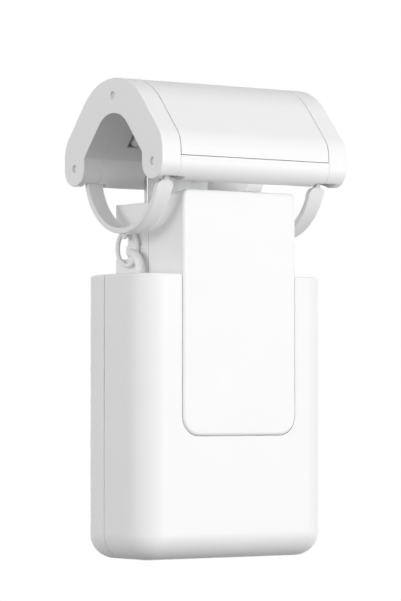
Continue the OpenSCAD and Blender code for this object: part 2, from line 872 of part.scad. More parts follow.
module tyre_window() {
    half = tyre_edge_r + wheel_gap;
    box([-half, -tyre_w / 2 - wheel_gap, neck_top - 2 * shell_t], [half, tyre_w / 2 + wheel_gap, lip_z + cut]);
}

module neck_rear_outline(inset) {
    r = neck_corner_r - inset / 2;
    side = neck_side - inset;
    front = neck_seam_y + seam_gap - cut * sign(inset);
    back = neck_back - inset;
    translate([-side, front]) square([2 * side, back - r - front]);
    translate([r - side, front]) square([2 * (side - r), back - front]);
    for (x = [-1, 1]) translate([x * (side - r), back - r]) circle(r);
}

module neck_rear_shell() {
    color(white) difference() {
        union() {
            difference() {
                translate([0, 0, body_top]) linear_extrude(neck_top - body_top) neck_rear_outline(0);
                translate([0, 0, body_top - cut]) linear_extrude(neck_top - shell_t - body_top + cut)
                    neck_rear_outline(shell_t);
            }
            intersection() {
                translate([0, 0, body_top]) linear_extrude(neck_top - body_top) neck_rear_outline(0);
                for (side = [0, 1]) mirror([side, 0, 0])
                    box([notch_x - notch_wall, notch_y - notch_wall, notch_low - notch_wall],
                        [neck_w, neck_back, notch_high + notch_wall]);
            }
        }
        for (side = [0, 1]) mirror([side, 0, 0])
            box([notch_x, notch_y, notch_low], [neck_w, neck_back + cut, notch_high]);
        tyre_window();
        box([-spine_w / 2 - slide_gap, spine_front - slide_gap, body_top],
            [spine_w / 2 + slide_gap, spine_back + slide_gap, neck_top + cut]);
        at_pegs() bar_x(peg_d + fixed_fit, -neck_w, neck_w);
    }
    color(white) for (side = [0, 1]) mirror([side, 0, 0])
        box([neck_side - cut, tongue_y[0], tongue_z[0]],
            [neck_side + tongue_proud, tongue_y[1], tongue_z[1]]);
}

// Inner frame: two plates and two sides round the wheel, a web for the motor, and rails for the spine
module inner_frame() {
    front = -pad_back;
    spacer_back = gear_front - slide_gap;
    color(dark) difference() {
        union() {
            box([-frame_side, front, frame_low], [frame_side, front_plate_back, frame_top]);
            for (side = [0, 1]) mirror([side, 0, 0]) {
                box([frame_side - frame_t, front, frame_low], [frame_side, rear_plate_back, frame_top]);
                box([spine_w / 2 - rail_grip, rear_plate_front, rail_low], [frame_side, rail_back, frame_top]);
                box([spring_x - lug_w / 2, rear_plate_front, lug_low],
                    [spring_x + lug_w / 2, spine_front - slide_gap, lug_high]);
                translate([spring_x, spring_y, lug_low - spring_stud_h])
                    cylinder(d = spring_stud_d, h = spring_stud_h + cut);
            }
            box([-frame_side, rear_plate_front, lug_low], [frame_side, rear_plate_back, frame_top]);
            box([-frame_side, motor_front - web_t, frame_low], [frame_side, motor_front, web_high]);
            translate([0, 0, idler_z]) bar_y(idler_pin_d + 3, front, spacer_back);
        }
        translate([0, 0, wheel_z]) bar_y(bearing_d + fixed_fit, front - cut, front_plate_back + cut);
        translate([0, 0, wheel_z]) bar_y(bearing_d + fixed_fit, rear_plate_front - cut, rear_plate_back + cut);
        translate([0, 0, idler_z]) bar_y(idler_pin_d + fixed_fit, front - cut, gear_front);
        translate([0, 0, pinion_z])
            bar_y(motor_nose_d + fixed_fit, motor_front - web_t - cut, motor_front + cut);
        box([-spine_w / 2 - slide_gap, spine_front - slide_gap, body_top - cut],
            [spine_w / 2 + slide_gap, spine_back + slide_gap, frame_top + cut]);
        at_frame_screws() frame_screw(fixed_fit);
    }
}

module frame_screw(fit) {
    rotate([-90, 0, 0]) cylinder(d1 = frame_screw_head_d + fit, d2 = frame_screw_d + fit, h = frame_screw_head_h);
    bar_y(frame_screw_d + fit, 0, pad_t + plate_t - 0.3);
}

module frame_screws() {
    color(steel) at_frame_screws() difference() {
        frame_screw(0);
        translate([0, frame_screw_head_h / 2, 0]) rotate([90, 0, 0])
            cylinder(d = frame_screw_d * socket_share, h = frame_screw_head_h, $fn = 6);
    }
}

// Shoulders: wire hooks on the deck, and rings that hang on pegs in the neck's sides
module at_hook_feet() {
    for (side = [-1, 1]) translate([side * hook_x, hook_y, body_top]) children();
}

module tow_hooks() {
    rise = hook_h - hook_bend_r;
    color(white) at_hook_feet() {
        translate([0, 0, -shell_t]) cylinder(d = hook_d, h = shell_t + rise);
        translate([0, hook_bend_r, rise]) rotate([90, 0, 90]) rotate([0, 0, 90])
            rotate_extrude(angle = 90) translate([hook_bend_r, 0]) circle(d = hook_d);
        translate([0, 0, hook_h]) bar_y(hook_d, hook_bend_r, hook_reach);
        translate([0, hook_reach, hook_h]) sphere(d = hook_d);
    }
}

module at_pegs() {
    translate([0, tow_ring_y, peg_z]) children();
}

module ring_pegs() {
    inside = neck_side - shell_t;
    outside = tow_ring_x + tow_ring_wire / 2 + slide_gap;
    color(steel) for (side = [0, 1]) mirror([side, 0, 0]) at_pegs() {
        bar_x(peg_d, inside, outside);
        bar_x(peg_head_d, outside, outside + peg_head_h);
    }
}

module tow_ring(side) {
    color(off_white) translate([side * tow_ring_x, tow_ring_y, tow_ring_z]) rotate([0, 90, 0])
        rotate_extrude() translate([tow_ring_r, 0]) circle(d = tow_ring_wire);
}

module left_tow_ring() {
    tow_ring(-1);
}

module right_tow_ring() {
    tow_ring(1);
}

// Drive wheel
module wheel_hub() {
    bore = (axle_d + fixed_fit) / 2;
    rim = hub_d / 2;
    half = tyre_w / 2;
    color(dark) translate([0, 0, wheel_z]) rotate([90, 0, 0]) rotate_extrude()
        polygon([[bore, -half], [rim, -half], [rim, half], [rim - hub_rim, half], [rim - hub_rim, half - hub_sink],
                 [bore + hub_boss, half - hub_sink], [bore + hub_boss, -gear_back], [bore, -gear_back]]);
}

module wheel_tyre() {
    half = tyre_w / 2;
    groove_r = (half * half + tyre_rise * tyre_rise) / (2 * tyre_rise);
    color(dark) translate([0, 0, wheel_z]) rotate([90, 0, 0]) rotate_extrude() difference() {
        translate([hub_d / 2, -half]) square([tyre_edge_r - hub_d / 2, tyre_w]);
        translate([tyre_r + groove_r, 0]) circle(groove_r);
    }
}

module wheel_axle() {
    color(steel) translate([0, 0, wheel_z]) bar_y(axle_d, axle_end_gap - pad_back, rear_plate_back - axle_end_gap);
}

module wheel_bearings() {
    ring_t = 0.8;
    shield_sink = 0.3;
    color(steel) translate([0, 0, wheel_z]) for (front = [-pad_back, rear_plate_front]) difference() {
        bar_y(bearing_d, front, front + plate_t);
        bar_y(axle_d + running_fit, front - cut, front + plate_t + cut);
        difference() {
            bar_y(bearing_d - 2 * ring_t, front - cut, front + plate_t + cut);
            bar_y(axle_d + running_fit + 2 * ring_t, front - 2 * cut, front + plate_t + 2 * cut);
            bar_y(bearing_d, front + shield_sink, front + plate_t - shield_sink);
        }
    }
}

// Involute gear with its first tooth on +X
function involute(base, r) = tan(acos(base / r)) * 180 / PI - acos(base / r);

module gear_outline(teeth) {
    pitch_r = gear_module * teeth / 2;
    base_r = pitch_r * cos(pressure_angle);
    tip_r = pitch_r + addendum;
    root_r = pitch_r - dedendum;
    low_r = max(base_r, root_r) + 0.001;
    half_tooth = 90 / teeth - backlash / 4 / pitch_r * 180 / PI + involute(base_r, pitch_r);
    flank = [for (k = [0:flank_steps])
        let (r = low_r + (tip_r - low_r) * k / flank_steps)
        [r, half_tooth - involute(base_r, r)]];
    side = concat([[root_r, flank[0][1]]], flank);
    last = len(side) - 1;
    polygon([for (t = [0:teeth - 1])
        each concat([for (k = [0:last]) side[k][0] * [cos(360 * t / teeth - side[k][1]),
                                                      sin(360 * t / teeth - side[k][1])]],
                    [for (k = [last:-1:0]) side[k][0] * [cos(360 * t / teeth + side[k][1]),
                                                        sin(360 * t / teeth + side[k][1])]])]);
}

module gear_lightening(teeth) {
    for (k = [1:gear_holes]) rotate(360 * k / gear_holes)
        translate([gear_module * teeth * gear_hole_at, 0]) circle(d = gear_hole_d);
}

module wheel_gear() {
    color(off_white) translate([0, 0, wheel_z]) along_y(gear_front, gear_back) difference() {
        rotate(-90) gear_outline(wheel_teeth);
        circle(d = axle_d + fixed_fit);
        gear_lightening(wheel_teeth);
    }
}

module idler_gear() {
    color(off_white) translate([0, 0, idler_z]) along_y(gear_front, gear_back) difference() {
        rotate(90 + 180 / idler_teeth) gear_outline(idler_teeth);
        circle(d = idler_pin_d + running_fit);
        gear_lightening(idler_teeth);
    }
}

module idler_pin() {
    color(steel) translate([0, 0, idler_z]) {
        bar_y(idler_pin_d, pin_end_gap - pad_back, gear_back + running_fit + pin_head_h);
        bar_y(pin_head_d, gear_back + running_fit, gear_back + running_fit + pin_head_h);
    }
}

module motor_pinion() {
    color(steel) translate([0, 0, pinion_z]) difference() {
        union() {
            along_y(gear_front, gear_back) rotate(90 + (idler_teeth % 2) * 180 / pinion_teeth)
                gear_outline(pinion_teeth);
            bar_y(pinion_hub_d, gear_back - cut, gear_back + pinion_hub_h);
        }
        bar_y(motor_shaft_d + fixed_fit, gear_front - cut, gear_back + pinion_hub_h + cut);
    }
}

module motor_shaft() {
    color(steel) translate([0, 0, pinion_z])
        bar_y(motor_shaft_d, gear_front - shaft_proud, motor_front + shaft_depth - slide_gap);
}

module motor() {
    nose = motor_front - motor_nose_len;
    back = motor_front + motor_len;
    color(grey) translate([0, 0, pinion_z]) difference() {
        union() {
            bar_y(motor_d, motor_front, back);
            bar_y(motor_nose_d, nose, motor_front + cut);
            bar_y(motor_boss_d, back - cut, back + motor_boss_h);
        }
        bar_y(motor_shaft_d + running_fit, nose - cut, motor_front + shaft_depth);
        for (side = [-1, 1])
            box([side * motor_d / 2 - motor_flat, motor_front + motor_flat_end, -motor_d / 5],
                [side * motor_d / 2 + motor_flat, back - motor_flat_end, motor_d / 5]);
    }
}

// Power and controls
module battery_tray() {
    color(dark) difference() {
        intersection() {
            box([-tray_side, -pad_back, tray_low], [tray_side, tray_back, tray_high]);
            translate([0, 0, tray_low - cut]) linear_extrude(tray_high - tray_low + 2 * cut)
                body_plan(shell_t + tray_gap);
        }
        for (z = cells_z) translate([0, cell_y, z])
            bar_x(cell_d + 2 * cell_gap, -tray_side - cut, tray_side + cut);
        box([-tray_window, -pad_back - cut, tray_low - cut], [tray_window, cell_y, tray_high + cut]);
    }
}

module battery_cells() {
    half = cell_len / 2;
    color(blue) for (z = cells_z) translate([0, cell_y, z]) {
        bar_x(cell_d, -half, half - cell_tip_h);
        bar_x(cell_tip_d, half - 2 * cell_tip_h, half);
    }
}

module main_board() {
    back = tray_back + board_t;
    color(green) {
        box([-board_side, tray_back, board_low], [board_side, back, board_high]);
        box([port_x - port_w / 2, tray_back - io_step, board_low],
            [port_x + port_w / 2, tray_back + board_t / 2, board_low + port_h / 2]);
        for (chip = board_chips) translate([chip[0], back, tray_low + chip[1]])
            box([-chip[2] / 2, -board_t / 2, 0], [chip[2] / 2, chip[3], chip[2]]);
    }
}

module port_outline(grow, h) {
    w = port_w + 2 * grow;
    d = port_d + 2 * grow;
    linear_extrude(h) {
        square([w - d, d], center = true);
        for (x = [-1, 1]) translate([x * (w - d) / 2, 0]) circle(d = d);
    }
}

module charge_port() {
    low = body_low + 0.3;
    color(steel) translate([port_x, io_y, low]) difference() {
        port_outline(0, port_h);
        difference() {
            translate([0, 0, -cut]) port_outline(-port_wall, port_h - 1 + cut);
            translate([0, 0, 1 + port_h / 2]) cube([port_w - port_d, 0.7, port_h], center = true);
        }
    }
}

module button_switch() {
    color(dark) {
        box([button_x - switch_w / 2, io_y - port_d, switch_z],
            [button_x + switch_w / 2, tray_back, switch_z + switch_h]);
        translate([button_x, io_y, switch_z - switch_plunger_h])
            cylinder(d = button_stem_d - 0.6, h = switch_plunger_h + cut);
    }
}

module light_pipe() {
    color(clear) translate([0, io_y, 0]) {
        translate([0, 0, body_low + button_sink]) cylinder(d = light_d, h = light_top - body_low - button_sink);
        translate([0, 0, floor_z]) cylinder(d = light_flange_d, h = 0.8);
    }
}

module setting_button() {
    flange = floor_z + button_gap;
    color(off_white) translate([button_x, io_y, 0]) {
        translate([0, 0, body_low + button_sink]) cylinder(d = button_d, h = flange - body_low);
        translate([0, 0, flange]) cylinder(d = button_flange_d, h = button_flange_h);
        translate([0, 0, flange]) cylinder(d = button_stem_d, h = stem_top - flange);
    }
}

saddle_frame();
saddle_cover();
left_end_cap();
right_end_cap();
cap_screws();
gate_pins();
roller_axles();
spine();
spine_screws();
lift_springs();
front_left_roller();
front_right_roller();
rear_left_roller();
rear_right_roller();
left_gate();
right_gate();
front_shell();
rear_shell();
front_cover();
neck_rear_shell();
inner_frame();
frame_screws();
shell_screws();
tow_hooks();
ring_pegs();
wheel_bearings();
idler_pin();
motor();
battery_tray();
battery_cells();
main_board();
charge_port();
button_switch();
light_pipe();
wheel_hub();
wheel_tyre();
wheel_gear();
wheel_axle();
idler_gear();
motor_pinion();
motor_shaft();
left_tow_ring();
right_tow_ring();
setting_button();
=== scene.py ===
"""Looks of a hanging drive robot: white moulded case, roller saddle, gates, tow fittings and geared drive."""

import math

import bmesh
import bpy
from bpy.props import FloatProperty, FloatVectorProperty, IntProperty, PointerProperty
from mathutils import Matrix, Vector


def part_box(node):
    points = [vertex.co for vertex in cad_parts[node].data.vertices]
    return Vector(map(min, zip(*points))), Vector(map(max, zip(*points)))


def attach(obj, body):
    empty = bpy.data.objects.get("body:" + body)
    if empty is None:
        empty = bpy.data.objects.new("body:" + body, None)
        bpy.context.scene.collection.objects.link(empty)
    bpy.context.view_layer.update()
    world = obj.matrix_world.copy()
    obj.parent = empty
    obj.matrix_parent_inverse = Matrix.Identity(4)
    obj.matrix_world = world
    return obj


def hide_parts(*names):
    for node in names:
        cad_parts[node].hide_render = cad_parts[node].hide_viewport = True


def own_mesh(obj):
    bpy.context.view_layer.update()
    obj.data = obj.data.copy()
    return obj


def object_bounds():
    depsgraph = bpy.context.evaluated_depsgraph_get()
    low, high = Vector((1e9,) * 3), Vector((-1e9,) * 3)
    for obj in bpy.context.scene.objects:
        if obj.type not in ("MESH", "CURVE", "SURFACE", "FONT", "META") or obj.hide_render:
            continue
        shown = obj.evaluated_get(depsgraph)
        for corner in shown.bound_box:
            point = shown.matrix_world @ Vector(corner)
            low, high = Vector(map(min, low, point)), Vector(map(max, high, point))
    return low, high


bl_info = {
    "name": "Hanging Drive Robot",
    "version": (1, 0, 0),
    "blender": (4, 5, 0),
    "location": "3D View > Sidebar > Robot",
    "description": "Dresses the packed parts of a hanging drive robot and lights them for a studio picture",
    "category": "Object",
}

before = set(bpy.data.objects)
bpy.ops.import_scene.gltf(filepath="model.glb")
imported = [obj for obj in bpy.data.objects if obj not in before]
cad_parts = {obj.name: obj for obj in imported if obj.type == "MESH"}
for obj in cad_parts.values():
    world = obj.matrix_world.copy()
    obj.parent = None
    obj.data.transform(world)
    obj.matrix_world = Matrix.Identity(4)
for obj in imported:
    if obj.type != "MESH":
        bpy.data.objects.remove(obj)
cad_low, cad_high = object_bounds()

MM = 0.001
WELD = 1e-6
FLAT_ANGLE = math.radians(0.4)
SHARP_ANGLE = math.radians(34)
SIDES = ("left", "right")

# Saddle, gates and neck
SEAM_REACH = 0.05 * MM
SEAM_GAP = 0.4 * MM
SEAM_OPENING = 0.1 * MM
CAP_POCKET = 40.8 * MM
CUT = 1 * MM
GATE_TAB = 2 * MM
GATE_SHOULDER = 2.4 * MM
GATE_END = 16 * MM
SHOULDER_STEPS = 8
LIP_BACK = -9 * MM
LIP_CORNER = 3.5 * MM
STRAP_END = 8 * MM

# Body shells and their openings
LIP_STEPS = 3
TOP_STEPS = 5
RIM_STEPS = 2
CORNER_STEPS = 12
FACES_OUT = 0.999
FACES_ACROSS = 0.3
DECK_GAP = 1 * MM
PORT_GAP = 0.3 * MM
BUTTON_GAP = 0.2 * MM
BUTTON_FLANGE = 1 * MM
PIPE_GAP = 0.02 * MM
PIPE_FLANGE = 0.6 * MM
HEAD_GAP = 0.15 * MM
SCREW_WELL = 0.95

# Screws, and the edges of small pieces
HEAD_HEIGHT = 2 * MM
HEAD_BREAK = 0.15 * MM
HEAD_TOP = 0.93
CROSS_BAR = 0.8 * MM
RECESS = 0.6
SOCKET_LIFT = 0.85
CAP_SHANK = 0.6
CAP_SCREW_LENGTH = 12 * MM
PEG_EDGE = 0.15 * MM
ROLLER_EDGE = 0.25 * MM
SPINE_EDGE = 0.3 * MM
TYRE_EDGE = 0.4 * MM
BUTTON_EDGE = 0.35 * MM

# Surfaces
SPECULAR = 0.4
CLOUD_SCALE = 45.0
GLOSS_SPREAD = 0.08
GRAIN_HEIGHT = 0.02 * MM
STREAK_SHADE = 0.25
STREAK_GLOSS = 0.18
STREAK_BUMP = 0.1
STREAK_HEIGHT = 0.01 * MM
TRACK_SCALE = 320.0
TRACK_HEIGHT = 0.03 * MM

# Stage: each lamp's place is counted from the robot's middle
LAMPS = (("front lamp", "front_power", (0.5, -1.4, 0.1)), ("side lamp", "side_power", (-1.45, -0.2, 0.2)),
         ("back lamp", "back_power", (0.95, 1.25, -0.02)))
LAMP_SIZE = 0.9
LOW_LIGHT = 0.85
HIGH_LIGHT = 0.4
WHITE = (1, 1, 1, 1)
FLOOR_RADIUS = 3.0
FLOOR_SIDES = 96
FLOOR_TONE = (0.12, 0.12, 0.12, 1)
FLOOR_SEEN_TONE = (0.45, 0.45, 0.45, 1)
FLOOR_GLOW = 0.5
FLOOR_ROUGHNESS = 0.8
CLIP_START = 0.01


# Properties

def number(name, description, value, **more):
    """Property for a number."""
    return FloatProperty(name=name, description=description, default=value, **more)


def length(name, description, low, value, high):
    """Property for a length, given in millimetres between its limits."""
    return number(name, description, value * MM, unit="LENGTH", min=low * MM, max=high * MM, precision=5)


def tint(name, description, value):
    """Property for a colour."""
    return FloatVectorProperty(name=name, description=description, subtype="COLOR", min=0, max=1, default=value)


class RobotFinish(bpy.types.PropertyGroup):
    """Colours and gloss of the robot's finishes."""

    case_colour: tint("Case colour", "Satin white of the moulded case", (0.87, 0.87, 0.868))
    gate_colour: tint("Gate colour", "White of the gates, rings and hooks", (0.84, 0.84, 0.838))
    roller_colour: tint("Roller colour", "Grey of the rollers in the saddle", (0.52, 0.53, 0.54))
    dark_colour: tint("Inner moulding colour", "Near-black of the inner mouldings", (0.035, 0.035, 0.038))
    rubber_colour: tint("Tyre colour", "Black rubber of the drive wheel's tyre", (0.022, 0.022, 0.023))
    case_roughness: number("Case roughness", "Roughness of the satin case", 0.46, subtype="FACTOR", min=0, max=1)


class RobotEdges(bpy.types.PropertyGroup):
    """Radii of the rounded edges."""

    saddle_edge: length("Saddle edge", "Radius of the saddle's edges", 0.05, 0.16, 0.6)
    seam_drop: length("Seam drop", "How far the saddle's long seam is drawn down", 0.1, 0.5, 1)
    cap_edge: length("Cap edge", "Radius of the end caps' edges", 0.1, 0.28, 0.5)
    neck_edge: length("Neck edge", "Radius of the edges of the neck and the strap", 0.2, 1, 1.2)
    shell_edge: length("Shell edge", "Radius of the edges at the shells' seams", 0.05, 0.3, 0.4)
    gate_edge: length("Gate edge", "Radius of the gates' edges", 0.1, 0.45, 1)
    segments: IntProperty(
        name="Edge segments", description="Steps across each rounded edge", min=1, max=6, default=3)


class RobotShells(bpy.types.PropertyGroup):
    """Form of the body's two shells."""

    side_edge: length("Side edge", "Width of the rounding at the body's upright edges", 11, 11.5, 13)
    front_edge: length("Front edge", "Depth of the rounding at the front upright edges", 12, 13, 14)
    rear_edge: length("Rear edge", "Depth of the rounding at the rear upright edges", 15, 16.8, 17.5)
    corner: length("Lower corner", "Radius of the lower corners, seen from the front", 9, 10, 13)
    front_foot: length("Front foot", "Depth of the rounding at the front of the underside", 10, 12, 14)
    rear_foot: length("Rear foot", "Depth of the rounding at the rear of the underside", 10, 12.2, 17)
    top_edge: length("Top edge", "Radius round the body's top", 0.4, 1.1, 2)
    wall: length("Wall", "Thickness of the shells", 1.5, 2.2, 2.4)
    strap_gap: length("Strap gap", "Gap round the strap in its seat", 0.1, 0.28, 0.6)
    strap_sink: length("Strap seat", "Depth of the strap's seat in the front shell", 0.8, 1.3, 1.6)
    strap_corner: length("Strap corner", "Radius of the strap's lower corners", 4, 7.5, 10)
    strap_drop: length("Strap drop", "How far the strap's end is drawn down", 0, 0.6, 1)
    lip_rise: length("Lip rise", "How far the neck's front lip is drawn up", 0, 0.9, 1.2)
    lip_corner: length("Lip corner", "Radius of the lip's corners at the front", 1, 2.6, 3.5)
    steps: IntProperty(
        name="Curve steps", description="Steps across each large curve of the shells", min=6, max=32, default=16)


class RobotFittings(bpy.types.PropertyGroup):
    """Wire and screw sizes of the small fittings."""

    hook_wire: length("Hook wire", "Diameter of the tow hooks' wire", 2.2, 3.3, 3.6)
    hook_bend: length("Hook bend", "Radius of the tow hooks' bend", 2, 5.8, 6.4)
    ring_wire: length("Ring wire", "Diameter of the tow rings' wire", 1.4, 1.8, 2)
    spring_wire: length("Spring wire", "Diameter of the lift springs' wire", 0.5, 0.6, 0.7)
    spring_turns: IntProperty(
        name="Spring turns", description="Turns of each lift spring", min=8, max=16, default=12)
    shell_head: length("Shell screw head", "Diameter of the shell screws' heads", 4, 5, 5.2)
    cap_head: length("Cap screw head", "Diameter of the screws' heads in the end caps", 2.6, 3, 3.4)


class RobotStage(bpy.types.PropertyGroup):
    """Camera, lamps and floor."""

    yaw: number("Camera yaw", "How far the camera stands to the left of the front", math.radians(36), subtype="ANGLE")
    distance: number("Camera distance", "Distance from the camera to the channel's axis", 1.1882, unit="LENGTH")
    height: number("Camera height", "Height of the camera above the channel's axis", -0.09086, unit="LENGTH")
    aim_right: number("Aim right", "Point that the camera looks at, to the right of the axis", -0.0019, unit="LENGTH")
    aim_up: number("Aim up", "Point that the camera looks at, above the axis", -0.0518, unit="LENGTH")
    lens: number("Lens", "Focal length of the camera in millimetres", 184.5)
    front_power: number("Front lamp", "Power of the soft lamp in front", 16.2, unit="POWER", min=0)
    side_power: number("Side lamp", "Power of the soft lamp at the left", 8.8, unit="POWER", min=0)
    back_power: number("Back lamp", "Power of the soft lamp behind, at the right", 12, unit="POWER", min=0)
    floor_drop: number("Floor drop", "Height of the floor below the channel's axis", 0.42, unit="LENGTH")


# Mesh helpers

def linked(name, data):
    """A new object in the scene."""
    item = bpy.data.objects.new(name, data)
    bpy.context.scene.collection.objects.link(item)
    return item


def place(node, ending, mesh, body):
    """Links a finished mesh as a piece that rides on a body and stands for a node."""
    piece = linked(node + ending, mesh)
    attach(piece, body)
    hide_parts(node)
    return piece


def smoothed(mesh):
    """The mesh shaded smooth, with its sharp edges marked."""
    mesh.shade_smooth()
    mesh.set_sharp_from_angle(angle=SHARP_ANGLE)
    return mesh


def mesh_of(bm, name):
    """Turns a bmesh into a smooth-shaded mesh."""
    mesh = bpy.data.meshes.new(name)
    bm.to_mesh(mesh)
    bm.free()
    return smoothed(mesh)


def node_copy(node):
    """A welded copy of a node's mesh, with its flat faces joined."""
    bm = bmesh.new()
    bm.from_mesh(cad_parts[node].data)
    bmesh.ops.remove_doubles(bm, verts=bm.verts, dist=WELD)
    bmesh.ops.dissolve_limit(bm, angle_limit=FLAT_ANGLE, verts=bm.verts, edges=bm.edges)
    return mesh_of(bm, node + "_mesh")


def worked(mesh, *steps):
    """The mesh after the modifiers that the steps put on it."""
    carrier = linked(mesh.name, mesh)
    for step in steps:
        step(carrier)
    depsgraph = bpy.context.evaluated_depsgraph_get()
    result = bpy.data.meshes.new_from_object(carrier.evaluated_get(depsgraph))
    bpy.data.objects.remove(carrier)
    return result


def rounded(radius, limit="ANGLE"):
    """Step that rounds the sharp edges, or each edge by its weight."""
    def add(carrier):
        bevel = carrier.modifiers.new("rounded edges", "BEVEL")
        bevel.width = radius
        bevel.segments = bpy.context.scene.robot_edges.segments
        bevel.limit_method = limit
        bevel.angle_limit = SHARP_ANGLE
        bevel.use_clamp_overlap = False
    return add


def edged(mesh, radius, bare, share=1):
    """The mesh with its sharp edges rounded: in full round its front face, by a share of the radius elsewhere, and
    not at all where an edge's middle is bare."""
    bm = bmesh.new()
    bm.from_mesh(mesh)
    weight = bm.edges.layers.float.new("bevel_weight_edge")
    front = min(vertex.co.y for vertex in bm.verts)
    for edge in bm.edges:
        if edge.calc_face_angle(0) > SHARP_ANGLE:
            at_front = all(vertex.co.y - front < WELD for vertex in edge.verts)
            middle = (edge.verts[0].co + edge.verts[1].co) / 2
            edge[weight] = 0 if bare(middle) else 1 if at_front else share
    return worked(mesh_of(bm, mesh.name), rounded(radius, "WEIGHT"), evened)


def evened(carrier):
    """Step that evens out the shading of flat faces."""
    normals = carrier.modifiers.new("even shading", "WEIGHTED_NORMAL")
    normals.keep_sharp = True


def cut_out(mesh, forms):
    """The mesh without some solid forms, which are used up."""
    def add(carrier):
        for form in forms:
            hollow = carrier.modifiers.new("cut", "BOOLEAN")
            hollow.operation = "DIFFERENCE"
            hollow.solver = "EXACT"
            hollow.object = form

    result = worked(mesh, add)
    for form in forms:
        bpy.data.objects.remove(form)
    return result


def finished(mesh, material):
    """The mesh with one material and nothing else in its slots."""
    mesh.materials.clear()
    mesh.materials.append(material)
    return mesh


def moulded(node, body, material, radius):
    """Places a piece like a node, with rounded edges."""
    mesh = worked(node_copy(node), rounded(radius), evened)
    place(node, "_moulded", finished(mesh, material), body)


def place_case(node, mesh, body):
    """Places a worked mesh as a white piece of the case."""
    place(node, "_moulded", finished(mesh, case_white()), body)


def finish_nodes(material, *nodes):
    """Gives carried-over nodes a material."""
    for node in nodes:
        finished(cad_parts[node].data, material)


def quarter(steps):
    """Angles from 0 to a right angle."""
    return [math.pi / 2 * k / steps for k in range(steps + 1)]


def prism(name, outline, start, end, axis):
    """Solid form with an outline across an axis, as an object to cut with."""
    bm = bmesh.new()
    rings = []
    for along in (start, end):
        rings.append([bm.verts.new((*point[:axis], along, *point[axis:])) for point in outline])
        bm.faces.new(rings[-1])
    for k in range(len(outline)):
        bm.faces.new((rings[0][k - 1], rings[0][k], rings[1][k], rings[1][k - 1]))
    bmesh.ops.recalc_face_normals(bm, faces=bm.faces)
    return linked(name, mesh_of(bm, name))


def rounded_outline(low, high, radii):
    """Outline of a rectangle with its own radius at each corner, from the lower left on round."""
    points = []
    corners = ((low[0], low[1], 1, 1, 180), (high[0], low[1], -1, 1, 270),
               (high[0], high[1], -1, -1, 0), (low[0], high[1], 1, -1, 90))
    for (first, second, inward, upward, turn), radius in zip(corners, radii):
        for angle in quarter(CORNER_STEPS):
            angle += math.radians(turn)
            points.append((first + radius * (inward + math.cos(angle)), second + radius * (upward + math.sin(angle))))
    return [point for k, point in enumerate(points) if math.dist(point, points[k - 1]) > WELD]


# Node helpers

def feed(tree, node, inputs):
    """Sets a node's inputs. Each takes a value, a socket, or a node for its first output."""
    for key, value in inputs.items():
        if isinstance(value, bpy.types.Node):
            value = value.outputs[0]
        if isinstance(value, bpy.types.NodeSocket):
            tree.links.new(value, node.inputs[key])
        else:
            node.inputs[key].default_value = value


def add_node(tree, kind, inputs=None, **settings):
    """Adds a node with the given settings and inputs."""
    node = tree.nodes.new(kind)
    for key, value in settings.items():
        setattr(node, key, value)
    feed(tree, node, inputs or {})
    return node


def add_sockets(tree, way, kinds):
    """Adds sockets of the given kinds to a tree's inputs or outputs."""
    for label, kind in kinds.items():
        tree.interface.new_socket(label, in_out=way, socket_type="NodeSocket" + kind)


def calc(tree, operation, *values):
    """Result of a calculation in a tree."""
    return add_node(tree, "ShaderNodeMath", dict(enumerate(values)), operation=operation)


def new_tree(name, floats, vectors=()):
    """A Geometry Nodes tree with named inputs; returns the tree and its inputs."""
    tree = bpy.data.node_groups.new(name, "GeometryNodeTree")
    tree.is_modifier = True
    sizes = dict.fromkeys(floats, "Float") | dict.fromkeys(vectors, "Vector")
    add_sockets(tree, "INPUT", {"Geometry": "Geometry", **sizes, "Finish": "Material"})
    add_sockets(tree, "OUTPUT", {"Geometry": "Geometry"})
    return tree, add_node(tree, "NodeGroupInput").outputs


def end_tree(tree, given, shape):
    """Realizes a tree's shape, gives it its finish and puts it out."""
    real = add_node(tree, "GeometryNodeRealizeInstances", {"Geometry": shape})
    dressed = add_node(tree, "GeometryNodeSetMaterial", {"Geometry": real, "Material": given["Finish"]})
    add_node(tree, "NodeGroupOutput", {"Geometry": dressed})
    return tree


def on_both_sides(tree, given, shape):
    """Ends a tree with its shape on the left foot and again on the right one."""
    feet = add_node(tree, "GeometryNodeMeshLine", {
        "Count": 2, "Start Location": given["Left foot"], "Offset": given["Spread"]}, mode="OFFSET")
    pair = add_node(tree, "GeometryNodeInstanceOnPoints", {"Points": feet, "Instance": shape})
    return end_tree(tree, given, pair)


def half_of(tree, value):
    """Half of a value in a tree."""
    return calc(tree, "MULTIPLY", value, 0.5)


def moved(tree, shape, translation=(0, 0, 0), rotation=(0, 0, 0)):
    """A shape turned and moved."""
    return add_node(tree, "GeometryNodeTransform", {
        "Geometry": shape, "Translation": translation, "Rotation": rotation})


def raised(tree, shape, height):
    """A shape moved straight up."""
    return moved(tree, shape, add_node(tree, "ShaderNodeCombineXYZ", {"Z": height}))


def cylinder(tree, sides, diameter, depth):
    """Node of an upright cylinder."""
    return add_node(tree, "GeometryNodeMeshCylinder", {
        "Vertices": sides, "Radius": half_of(tree, diameter), "Depth": depth})


def circle(tree, sides, radius):
    """Path round the z axis."""
    return add_node(tree, "GeometryNodeCurvePrimitiveCircle", {"Resolution": sides, "Radius": radius})


def round_wire(tree, path, diameter, sides):
    """Round wire along a path, closed at its ends."""
    profile = circle(tree, sides, half_of(tree, diameter))
    return add_node(tree, "GeometryNodeCurveToMesh", {"Curve": path, "Profile Curve": profile, "Fill Caps": True})


def joined(tree, *shapes):
    """Several shapes as one."""
    join = add_node(tree, "GeometryNodeJoinGeometry")
    for shape in shapes:
        tree.links.new(shape.outputs[0], join.inputs["Geometry"])
    return join


